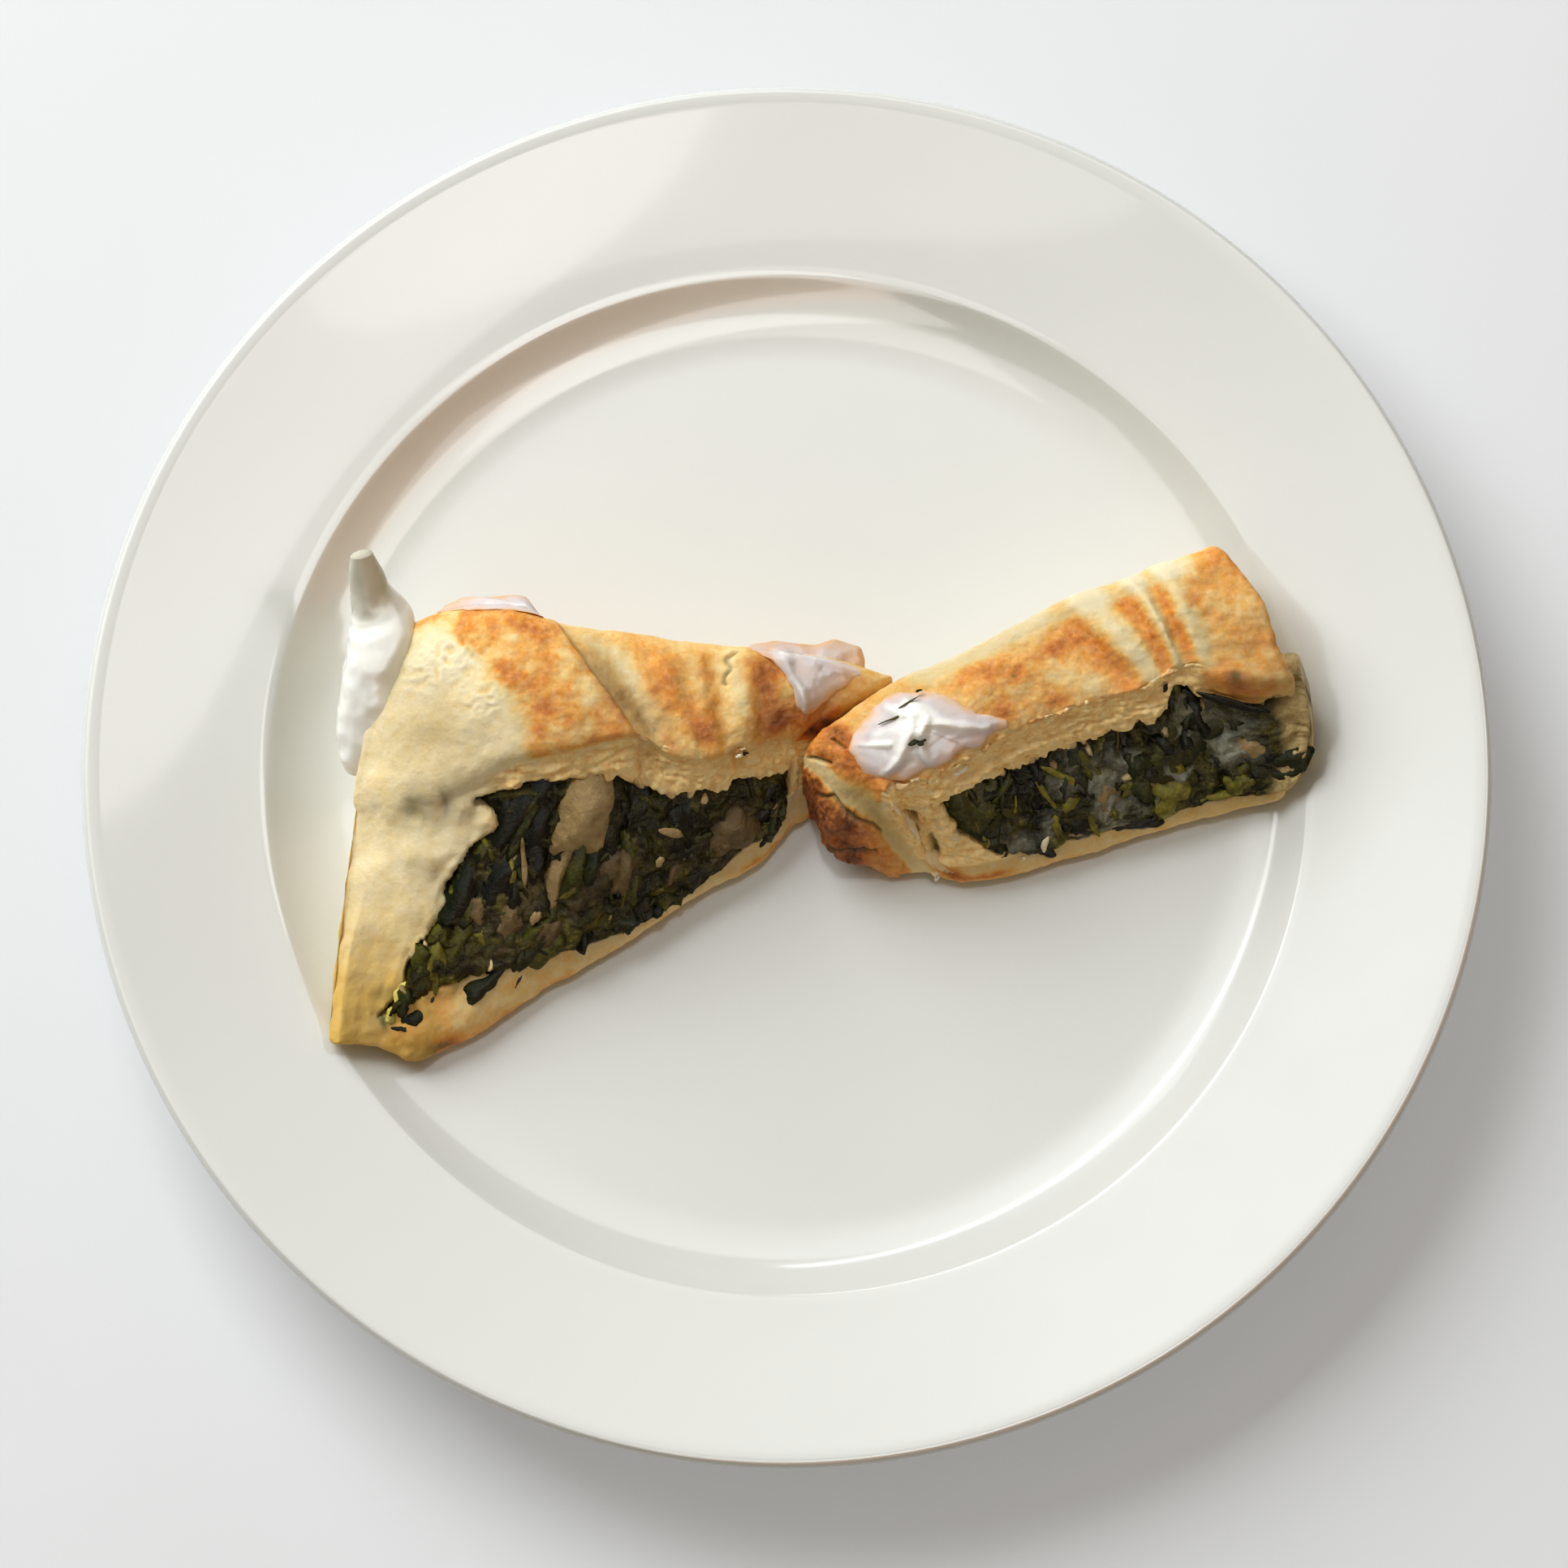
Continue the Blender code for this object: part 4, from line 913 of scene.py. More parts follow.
def plate_profile():
    """Radius and height from the middle over the top, round the lip, back under to the foot."""
    lip_start = PLATE_RADIUS - LIP_REACH
    inner = np.linspace(0.0, SHOULDER_START, 14)[1:]
    border = SHOULDER_END + np.linspace(-BORDER_RUN, BORDER_RUN, 15)
    shoulder = np.concatenate([np.linspace(SHOULDER_START, border[0], 24)[1:], border[1:8]])
    rim = np.concatenate([border[8:], np.linspace(border[-1], lip_start, 16)[1:]])
    over = np.concatenate([inner, shoulder, rim])
    top = np.stack([over, plate_top(over)], axis=1)
    lip_middle = np.array([lip_start, plate_top(lip_start) - LIP_RADIUS])
    turn = np.linspace(np.pi / 2, -np.pi / 2, 13)[1:-1]
    lip = lip_middle + LIP_RADIUS * np.stack([0.94 * np.cos(turn), np.sin(turn)], axis=1)
    under = np.concatenate([rim[::-1][1:], shoulder[::-1][:26]])
    below = np.stack([under, plate_top(under) - PLATE_WALL], axis=1)
    foot = np.array([
        (FOOT_RADIUS + 3.7, 1.3), (FOOT_RADIUS + 2.6, 0.35), (FOOT_RADIUS + 1.4, 0.0),
        (FOOT_RADIUS - 1.4, 0.0), (FOOT_RADIUS - 2.6, 0.4), (FOOT_RADIUS - 3.6, UNDERSIDE_HEIGHT),
        (FOOT_RADIUS * 0.5, UNDERSIDE_HEIGHT),
    ])
    return np.concatenate([top, lip, below, foot])


def plate_shape():
    """The profile turned about the plate's axis, with a fan at the middle of each side."""
    profile = plate_profile()
    turn = np.linspace(0.0, 2.0 * np.pi, PLATE_STEPS, endpoint=False)
    rings = np.stack([
        profile[:, None, 0] * np.cos(turn), profile[:, None, 0] * np.sin(turn),
        profile[:, None, 1] * np.ones_like(turn),
    ], axis=-1)
    middles = [(0.0, 0.0, plate_top(0.0)), (0.0, 0.0, UNDERSIDE_HEIGHT)]
    return np.concatenate([rings.reshape(-1, 3), middles]), closed_faces(*rings.shape[:2])


# ---------------------------------------- sauce
RIGHT_DOLLOP = (
    (0.22, 0.55), (0.26, 0.33), (0.36, 0.14), (0.41, 0.22), (0.45, 0.38), (0.47, 0.64), (0.52, 0.92),
    (0.44, 0.94), (0.41, 0.9), (0.33, 0.93), (0.27, 0.92), (0.21, 0.88),
)
TIP_DOLLOP = (
    (0.8, 0.0), (0.84, -0.12), (0.87, -0.12), (0.9, -0.24), (0.93, -0.16), (0.96, 0.1), (0.95, 0.4),
    (0.94, 0.7), (0.905, 0.7), (0.87, 0.42), (0.84, 0.2),
)
BACK_STRIP = (
    (0.12, 0.01), (0.18, -0.05), (0.28, -0.05), (0.36, -0.09), (0.42, -0.09), (0.46, 0.02), (0.38, 0.05),
    (0.24, 0.05),
)
# Ovals of the sauce beside the left wall: middle x, y and z, half width and half height.
SIDE_SAUCE = (
    (-82.6, 0.5, 19.0, 2.0, 3.0), (-81.4, 5.0, 22.0, 4.4, 5.6), (-79.6, 12.0, 26.0, 6.2, 7.2),
    (-78.0, 19.0, 29.5, 6.8, 7.8), (-77.2, 25.0, 32.5, 6.6, 7.2), (-78.0, 28.5, 35.0, 5.4, 5.2),
    (-79.4, 31.5, 38.5, 3.9, 3.4), (-80.2, 34.5, 42.5, 3.1, 2.2), (-80.8, 37.0, 45.5, 2.1, 1.3),
)

DOLLOP_SIDES = 220
DOLLOP_RINGS = 72
SIDE_SIDES = 150
SIDE_RINGS = 180

# Lines that the spoon drew in a dollop, each with its height and its width.
RIGHT_RIDGES = (
    (((0.36, 0.2), (0.375, 0.42), (0.36, 0.55), (0.31, 0.72), (0.24, 0.86)), 0.9, 1.0),
    (((0.39, 0.25), (0.395, 0.5), (0.37, 0.62)), 0.8, 0.9),
    (((0.37, 0.6), (0.35, 0.75), (0.345, 0.9)), 0.7, 0.9),
    (((0.4, 0.55), (0.44, 0.75), (0.48, 0.88)), 0.5, 1.1), (((0.27, 0.42), (0.31, 0.55)), 0.5, 0.9),
)
TIP_RIDGES = ((((0.84, 0.0), (0.86, 0.3), (0.925, 0.68)), 1.2, 0.9),)
RIDGE_SIZE = (90.0, 24.0)


def dollop(slice_, outline, peak, rise, peak_height, full_depth, ridges, seed):
    """Sauce on the crust: rings from under its rim in to the peak.

    Its height is rise times the root of 1 less the squared share of the way out, plus a
    peak, ridges along given lines and noise. It is thin up to full_depth, where it turns white."""
    loop = smooth_loop(outline, DOLLOP_SIDES)
    peak = np.array(peak)
    share = np.linspace(1.0, 0.02, DOLLOP_RINGS)[:, None]
    spot = peak + (loop - peak) * share[..., None]
    base = slice_.crust(spot[..., 0], spot[..., 1])
    wobble = 1.0 + 0.1 * rough(base, 4.0, 2, seed) * share
    spot = peak + (loop - peak) * (share * wobble)[..., None]
    base = slice_.crust(spot[..., 0], spot[..., 1])
    full = np.sqrt(1.0 - share**2)
    height = 0.25 + rise * full + peak_height * (1.0 - share) ** 2
    height = height + full * (0.3 * rough(base, 5.0, 2, seed + 2) + 0.1 * rough(base, 2.0, 2, seed + 3))
    for path, amount, width in ridges:
        distance = path_distance(spot[..., 0], spot[..., 1], path, RIDGE_SIZE)
        height = height + full * amount * bell(distance, width)
    upper = base + height[..., None] * np.array((0.0, -0.12, 1.0))
    lower = base[:1] - (0.0, 0.0, 1.6)
    grid = np.concatenate([lower, upper])
    poles = [grid[0].mean(axis=0) - (0.0, 0.0, 0.8), grid[-1].mean(axis=0)]
    depth = np.clip((height - 0.35) / full_depth + 0.2 * noise(base, 5.0, seed + 6), 0.0, 1.0)
    thin = np.concatenate([np.ones((1, DOLLOP_SIDES)), 1.0 - depth])
    points = np.concatenate([grid.reshape(-1, 3), poles])
    return points, closed_faces(*grid.shape[:2]), {"thin": np.concatenate([thin.ravel(), [1.0, 0.0]])}


def side_sauce(seed):
    """Ovals carried along a bent line and drawn up to a thin peak, with noise along their normals."""
    way = np.linspace(0.0, 1.0, SIDE_RINGS)
    rows = smooth_through(SIDE_SAUCE, way)
    ahead = unit(np.gradient(rows[:, :3], axis=0))
    across = unit(np.cross(ahead, (0.0, 0.0, 1.0)))
    up = np.cross(across, ahead)
    turn = np.linspace(0.0, 2.0 * np.pi, SIDE_SIDES, endpoint=False)[None, :, None]
    sideways = across[:, None] * np.cos(turn) * rows[:, None, 3:4]
    upwards = up[:, None] * np.sin(turn) * rows[:, None, 4:5]
    grid = rows[:, None, :3] + sideways + upwards
    normal = unit(grid - rows[:, None, :3])
    calm = np.linspace(1.0, 0.25, SIDE_RINGS)[:, None]
    height = calm * (0.8 * rough(grid, 7.0, 2, seed) + 0.1 * rough(grid, 2.5, 2, seed + 3))
    grid = grid + normal * height[..., None]
    # Greenish grey up the peak: the grey is painted shade, the green is dill.
    tip = np.repeat(0.85 * rises(way, 0.55, 0.25), SIDE_SIDES)
    poles = [grid[0].mean(axis=0) + (0.0, -0.8, 0.0), grid[-1].mean(axis=0) + (-0.1, 0.5, 0.6)]
    points = np.concatenate([grid.reshape(-1, 3), poles])
    values = {"thin": np.zeros(len(points)), "tip": np.concatenate([tip, [0.0, 1.0]])}
    return points, closed_faces(*grid.shape[:2]), values


# ---------------------------------------- materials
def colour(red, green, blue):
    """Linear colour from a screen colour of 0 to 255."""
    share = np.array([red, green, blue]) / 255.0
    linear = np.where(share <= 0.04045, share / 12.92, ((share + 0.055) / 1.055) ** 2.4)
    return (*linear.tolist(), 1.0)


class Finish:
    """A material in the making. Each call adds one node and returns its output."""

    def __init__(self, name, **constants):
        """Starts from a plain shader, with constants named as its sockets are."""
        self.material = bpy.data.materials.new(name)
        self.material.use_nodes = True
        self.tree = self.material.node_tree
        self.shader = self.tree.nodes["Principled BSDF"]
        for key, value in constants.items():
            self.shader.inputs[key.replace("_", " ")].default_value = value

    def set(self, socket, value):
        """Links an output to a socket, or gives it a number or a screen colour of 0 to 255."""
        if isinstance(value, bpy.types.NodeSocket):
            self.tree.links.new(value, socket)
        else:
            socket.default_value = colour(*value) if isinstance(value, tuple) else value

    def add(self, kind, output, values, **settings):
        """Adds a node with its settings and inputs."""
        made = self.tree.nodes.new(kind)
        for key, value in settings.items():
            setattr(made, key, value)
        for key, value in values.items():
            self.set(made.inputs[key], value)
        return made.outputs[output]

    def place(self):
        """Object coordinates, which are metres from the origin."""
        return self.add("ShaderNodeTexCoord", "Object", {})

    def named(self, key):
        """The number that the mesh carries under a name."""
        return self.add("ShaderNodeAttribute", "Fac", {}, attribute_name=key)

    def noise(self, size, detail=2.0, roughness=0.5, distortion=0.0):
        """Noise of 0 to 1 with lumps of that many millimetres."""
        values = {"Vector": self.place(), "Scale": 1.0 / (size * MM), "Detail": detail,
                  "Roughness": roughness, "Distortion": distortion}
        return self.add("ShaderNodeTexNoise", "Fac", values)

    def uneven(self, key, swing, *look, low=None):
        """The mesh's number under a name, plus noise of that swing: from low, or else about zero."""
        low = -0.5 * swing if low is None else low
        return self.maths("ADD", self.named(key), self.maths("MULTIPLY_ADD", self.noise(*look), swing, low))

    def ramp(self, share, stops):
        """Colour at a share of the way along rows of (share, red, green, blue)."""
        output = self.add("ShaderNodeValToRGB", "Color", {"Fac": share})
        bar = output.node.color_ramp
        for place, *_ in stops[1:-1]:
            bar.elements.new(place)
        for element, (place, *shade) in zip(bar.elements, stops):
            element.position = place
            element.color = colour(*shade)
        return output

    def mix(self, share, first, second, blend="MIX"):
        """Second colour over the first by a share, in a blend mode."""
        made = self.tree.nodes.new("ShaderNodeMix")
        made.data_type = "RGBA"
        made.blend_type = blend
        for index, value in ((0, share), (6, first), (7, second)):
            self.set(made.inputs[index], value)
        return made.outputs[2]

    def maths(self, operation, first, second, third=0.0):
        """Result of a sum on two or three numbers."""
        made = self.tree.nodes.new("ShaderNodeMath")
        made.operation = operation
        for index, value in enumerate((first, second, third)):
            self.set(made.inputs[index], value)
        return made.outputs[0]

    def spread(self, share, low, high):
        """Turns 0 to 1 into low to high, held within them."""
        values = {"Value": share, "To Min": low, "To Max": high}
        return self.add("ShaderNodeMapRange", "Result", values)

    def bump(self, height, distance, strength):
        """Normal tilted by a height of 0 to 1 that stands for that many millimetres."""
        values = {"Height": height, "Distance": distance * MM, "Strength": strength}
        return self.add("ShaderNodeBump", "Normal", values)

    def wear(self, base, roughness, normal):
        """Links base colour, roughness and normal, and returns the material."""
        self.set(self.shader.inputs["Base Color"], base)
        self.set(self.shader.inputs["Roughness"], roughness)
        self.set(self.shader.inputs["Normal"], normal)
        return self.material


def baked_pastry():
    """Cream to dark brown by baking, with painted highlight and shade in places, crumbly inside where torn,
    and dark green where leaves show through and as painted shade in its cracks and holes.
    """
    f = Finish("baked_pastry", Specular_IOR_Level=0.1, Subsurface_Weight=0.12,
               Subsurface_Radius=(0.9, 0.45, 0.2), Subsurface_Scale=0.002)
    fine = f.maths("MULTIPLY_ADD", f.noise(0.8, 4.0, 0.7), 0.26, -0.13)
    broad = f.maths("MULTIPLY_ADD", f.noise(2.6, 4.0, 0.6, 0.5), 0.36, -0.18)
    bake = f.maths("ADD", f.named("bake"), f.maths("ADD", fine, broad))
    crust = f.ramp(bake, (
        (0.0, 230, 218, 182), (0.2, 225, 203, 148), (0.36, 225, 187, 114), (0.5, 221, 159, 72),
        (0.62, 210, 134, 50), (0.75, 184, 103, 34), (0.88, 128, 66, 22), (1.0, 70, 32, 11),
    ))
    flour = f.maths("MULTIPLY", f.spread(f.noise(1.7, 5.0, 0.7, 0.6), -0.5, 0.75), f.spread(bake, 1.0, 0.1))
    crust = f.mix(flour, crust, (238, 224, 192))
    crumb = f.ramp(f.noise(1.6, 5.0, 0.65, 0.4), (
        (0.22, 238, 184, 108), (0.5, 252, 216, 146), (0.8, 255, 242, 192),
    ))
    shade = f.mix(f.named("torn"), crust, crumb)
    shade = f.mix(f.named("oil"), shade, f.mix(f.noise(4.0, 3.0), (214, 180, 92), (198, 160, 70)))
    # Dark green: stains where the leaves show through, and painted shade in the cracks and holes.
    shade = f.mix(f.named("stain"), shade, f.mix(f.noise(2.0), (60, 64, 40), (96, 92, 50)))
    # Painted shade: a grey multiply that darkens the crust in patches.
    shade = f.mix(f.named("dusk"), shade, (178, 168, 156), "MULTIPLY")
    gloss = f.spread(f.noise(2.4, 3.0), 0.38, 0.62)
    height = f.maths("ADD", f.noise(0.7, 5.0, 0.6), f.maths("MULTIPLY", f.noise(2.0, 3.0), 0.8))
    return f.wear(shade, gloss, f.bump(height, 0.2, 0.55))


def spinach_mass():
    """Near-black green to olive, with cheese smeared over it and pale dough at one end, wet."""
    f = Finish("spinach_mass", Specular_IOR_Level=0.07)
    tone = f.uneven("tone", 0.6, 1.2, 5.0, 0.65, 0.8)
    greens = f.ramp(tone, (
        (0.0, 6, 7, 1), (0.22, 26, 26, 6), (0.4, 56, 52, 13), (0.55, 98, 90, 28), (0.75, 152, 138, 62),
        (1.0, 206, 196, 128),
    ))
    smear = f.uneven("cheese", 0.7, 1.8, 4.0, 0.6, 0.6, low=-0.4)
    smear = f.spread(smear, 0.0, 0.9)
    milky = f.mix(f.named("cream"), (150, 122, 74), (208, 214, 200))
    milky = f.mix(f.noise(1.6, 4.0, 0.6, 0.5), milky, (96, 92, 62))
    shade = f.mix(smear, greens, milky)
    rind = f.ramp(f.noise(2.6, 4.0, 0.6), (
        (0.3, 150, 130, 82), (0.5, 186, 162, 108), (0.75, 208, 190, 138),
    ))
    shade = f.mix(f.named("dough"), shade, rind)
    gloss = f.spread(f.noise(1.2, 3.0), 0.2, 0.5)
    height = f.maths("ADD", f.noise(1.1, 4.0, 0.6, 0.5), f.noise(0.5, 3.0))
    return f.wear(shade, gloss, f.bump(height, 0.35, 0.8))


def wilted_leaf():
    """Dark wet green, from black through bottle green to yellow olive by each leaf's tone."""
    f = Finish("wilted_leaf", Specular_IOR_Level=0.09, Subsurface_Weight=0.08,
               Subsurface_Radius=(0.3, 0.5, 0.1), Subsurface_Scale=0.001)
    tone = f.uneven("tone", 0.5, 1.6, 4.0, 0.65, 0.8)
    shade = f.ramp(tone, (
        (0.0, 5, 8, 2), (0.2, 17, 22, 6), (0.4, 42, 45, 12), (0.58, 84, 82, 22), (0.78, 138, 128, 42),
        (1.0, 204, 192, 104),
    ))
    gloss = f.spread(f.noise(1.6, 2.0), 0.16, 0.45)
    return f.wear(shade, gloss, f.bump(f.noise(0.8, 4.0, 0.6, 0.6), 0.3, 0.8))


def soft_cheese():
    """Cream to tan cheese, down to a dark olive brown by each piece's tone."""
    f = Finish("soft_cheese", Specular_IOR_Level=0.14, Subsurface_Weight=0.25,
               Subsurface_Radius=(0.9, 0.7, 0.4), Subsurface_Scale=0.001)
    tone = f.uneven("tone", 0.5, 2.2, 4.0, 0.6, 0.3)
    shade = f.ramp(tone, (
        (0.0, 40, 36, 16), (0.3, 104, 84, 46), (0.55, 164, 138, 90), (0.8, 204, 184, 138),
        (1.0, 232, 226, 198),
    ))
    return f.wear(shade, f.spread(f.noise(1.4, 2.0), 0.3, 0.6), f.bump(f.noise(1.1, 5.0, 0.65), 0.5, 0.8))


def torn_flake():
    """Thin pale pastry, golden at places."""
    f = Finish("torn_flake", Specular_IOR_Level=0.2, Subsurface_Weight=0.2,
               Subsurface_Radius=(0.9, 0.6, 0.35), Subsurface_Scale=0.001)
    tone = f.uneven("tone", 0.3, 1.5, 4.0, 0.6)
    shade = f.ramp(tone, (
        (0.0, 240, 232, 210), (0.18, 230, 204, 152), (0.4, 212, 172, 112), (0.65, 198, 142, 76),
        (1.0, 150, 84, 36),
    ))
    return f.wear(shade, f.spread(f.noise(1.0), 0.5, 0.75), f.bump(f.noise(0.7, 4.0, 0.6), 0.2, 0.7))


def yoghurt_sauce():
    """Glossy white, lilac grey where it is thin, pinkish tan over the crust at its rim, and greenish grey
    up its one tall peak, where the grey is painted shade and the green is dill."""
    f = Finish("yoghurt_sauce", Specular_IOR_Level=0.3, Coat_Weight=0.2, Coat_Roughness=0.1,
               Subsurface_Weight=0.3, Subsurface_Radius=(1.0, 0.7, 0.5), Subsurface_Scale=0.0012)
    thin = f.uneven("thin", 0.4, 3.0, 3.0)
    shade = f.ramp(thin, (
        (0.0, 240, 239, 232), (0.3, 228, 225, 222), (0.58, 201, 193, 192), (0.8, 208, 188, 178),
        (1.0, 212, 170, 124),
    ))
    # The peak's greenish grey: painted shade, tinted green by dill.
    shade = f.mix(f.named("tip"), shade, f.mix(f.noise(3.0), (180, 180, 156), (206, 200, 182)))
    gloss = f.spread(f.noise(1.5, 2.0), 0.14, 0.34)
    return f.wear(shade, gloss, f.bump(f.noise(1.2, 3.0, 0.5), 0.04, 0.5))


def glazed_porcelain():
    """White glaze with faint clouding and ripples far too small to see as shape."""
    f = Finish("glazed_porcelain", Coat_Weight=0.6, Coat_Roughness=0.05)
    shade = f.mix(f.noise(40.0, 3.0), (208, 209, 205), (204, 206, 202))
    gloss = f.spread(f.noise(12.0, 2.0), 0.12, 0.2)
    return f.wear(shade, gloss, f.bump(f.noise(5.0, 2.0), 0.02, 0.3))


def pale_table():
    """Pale table top with a faint cloudiness."""
    f = Finish("pale_table", Specular_IOR_Level=0.2,
               Emission_Color=colour(250, 252, 255), Emission_Strength=0.2)
    f.material.cycles.emission_sampling = "NONE"
    shade = f.mix(f.noise(90.0, 4.0), (195, 197, 199), (191, 193, 193))
    return f.wear(shade, f.spread(f.noise(30.0), 0.6, 0.75), f.bump(f.noise(2.0, 3.0), 0.05, 0.3))


# ---------------------------------------- pieces
def dress(name, shape, look, slot, *nodes):
    """Makes a piece, stands it for its nodes and rides it on the one body."""
    points, faces, *values = shape
    piece = make_piece(name, points, faces, look, *values)
    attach(piece, "root")
    if nodes:
        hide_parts(*nodes)


def sheets(name, slot, look, shape, tones):
    """One piece from many draped sheets, each with its own tone."""
    points, faces = shape
    dress(name, (points, [faces], {"tone": np.repeat(tones, points.shape[1])}), look, slot)


def listed(name, slot, look, skin, seed, rows, span, grid=LUMP_GRID, ragged=0.6):
    """Sheets at listed places.

    A row is u, s, half length, half width, turn, lift, thickness, crumple, curl and tone."""
    rows = np.array(rows, float)
    shape = drape(skin, seed, rows[:, 0:2], rows[:, 2:4], *rows[:, 4:9].T, span, grid, ragged)
    sheets(name, slot, look, shape, rows[:, 9])


LEAVES = 38
LEAF_THICKNESS = 0.28


def leaf_litter(name, slice_, seed, extent, lengths, look):
    """Crumpled leaves over a filling, mostly dark and a few of them olive."""
    draw = np.random.default_rng(seed)
    u, share = draw.uniform(*extent, LEAVES), draw.uniform(0.0, 1.0, LEAVES)
    s = 1.0 + slice_.window_at(u, share)
    u = np.maximum(u, smooth_through(slice_.start, share) + 0.02)
    length = draw.uniform(*lengths, LEAVES)
    halves = np.stack([length, length * draw.uniform(0.4, 0.95, LEAVES)], axis=1)
    turns, lifts = draw.uniform(0.0, np.pi, LEAVES), draw.uniform(-0.4, 0.9, LEAVES)
    tones = 0.8 * draw.beta(1.1, 2.4, LEAVES)
    crumple, curl = draw.uniform(1.1, 2.4, LEAVES), draw.uniform(-1.8, -0.2, LEAVES)
    shape = drape(filling_skin(slice_), seed + 1, np.stack([u, s], axis=1), halves, turns, lifts,
                  LEAF_THICKNESS, crumple, curl, slice_.span, LEAF_GRID)
    sheets(name, "spinach_filling", look, shape, tones)


def strewn(slice_, count, seed, extent, lengths, widths, lifts, thickness, tones):
    """Random places all over a window, with sizes, lifts and tones between limits, as rows for listed."""
    draw = np.random.default_rng(seed)
    u, share = draw.uniform(*extent, count), draw.uniform(0.08, 0.95, count)
    u = np.maximum(u, smooth_through(slice_.start, share) + 0.02)
    drawn = [draw.uniform(*limits, count) for limits in (lengths, widths, (0.0, 3.1), lifts)]
    same = [np.full(count, value) for value in (thickness, 0.6, -0.4)]
    tones = draw.uniform(*tones, count)
    return np.stack([u, 1.0 + slice_.window_at(u, share), *drawn, *same, tones], axis=1)


def broken_edge(count, seed, extent):
    """Small flakes at random places along the crust's broken edge, as rows for listed."""
    draw = np.random.default_rng(seed)
    places = [draw.uniform(*extent, count), draw.normal(1.01, 0.03, count)]
    limits = (
        (0.7, 2.0), (0.6, 1.4), (0.0, 3.1), (-0.5, 0.1), (0.3, 0.6), (0.4, 0.9), (-0.8, 0.0), (0.15, 0.7),
    )
    return np.stack(places + [draw.uniform(*pair, count) for pair in limits], axis=1)


# The u between which a filling lies open, and what lies on it, as rows for listed.
LEFT_EXTENT = (0.14, 0.93)
RIGHT_EXTENT = (0.36, 0.955)
LEFT_CHEESE = (
    (0.435, 1.35, 7.0, 5.4, 0.15, -1.2, 8.0, 1.1, -0.6, 0.52),
    (0.408, 1.485, 2.59, 4.75, 0.2, -1.0, 3.75, 0.9, -0.4, 0.5),
    (0.8, 1.54, 7.6, 5.2, 0.25, -0.3, 5.0, 1.2, -0.8, 0.25),
    (0.53, 1.5, 3.24, 2.59, 0.0, -1.2, 2.5, 1.0, -0.3, 0.28),
    (0.525, 1.53, 5.2, 4.0, 0.3, -0.7, 5.0, 1.3, -0.5, 0.27),
    (0.345, 1.55, 3.0, 2.4, 0.6, -0.5, 3.0, 1.0, -0.3, 0.3),
    (0.665, 1.58, 3.6, 2.6, -0.3, -0.6, 3.0, 1.1, -0.4, 0.2),
    (0.41, 1.64, 3.4, 2.2, 0.2, -0.5, 3.0, 1.1, -0.4, 0.25),
    (0.63, 1.425, 3.2, 0.6, 0.25, 1.0, 0.7, 0.3, 0.0, 0.5),
    (0.615, 1.51, 1.1, 0.8, 0.4, 1.4, 0.9, 0.2, 0.0, 0.6),
    (0.7, 1.34, 0.9, 0.6, 0.1, 1.3, 0.8, 0.2, 0.0, 0.6),
    (0.35, 1.42, 0.45, 2.6, -0.3, 1.0, 0.6, 0.3, 0.0, 0.45),
    (0.47, 1.58, 3.46, 2.16, 0.3, -1.5, 2.5, 1.0, -0.3, 0.22),
    (0.29, 1.49, 2.2, 1.2, 0.5, 0.4, 1.2, 0.4, 0.0, 0.3),
)
RIGHT_CHEESE = (
    (0.685, 1.56, 3.89, 3.67, 0.4, -1.1, 3.75, 1.1, -0.5, 0.42),
    (0.775, 1.58, 3.24, 2.59, -0.2, -1.1, 3.25, 1.1, -0.5, 0.38),
    (0.94, 1.52, 2.81, 2.59, 0.1, -1.0, 3.25, 1.0, -0.4, 0.5),
    (0.535, 1.69, 1.2, 0.6, -0.6, 1.0, 0.8, 0.2, 0.0, 0.9),
    (0.485, 1.75, 0.7, 0.7, 0.0, 1.0, 0.8, 0.2, 0.0, 0.85),
    (0.46, 1.6, 3.67, 2.38, 0.3, -1.5, 2.75, 1.0, -0.5, 0.22),
    (0.855, 1.43, 2.59, 2.16, 0.2, -1.2, 2.75, 1.0, -0.4, 0.42),
    (0.62, 1.7, 5.94, 1.62, 0.05, -1.5, 2.75, 1.0, -0.4, 0.48),
    (0.83, 1.68, 3.67, 1.4, 0.0, -1.5, 2.5, 1.0, -0.4, 0.44),
)
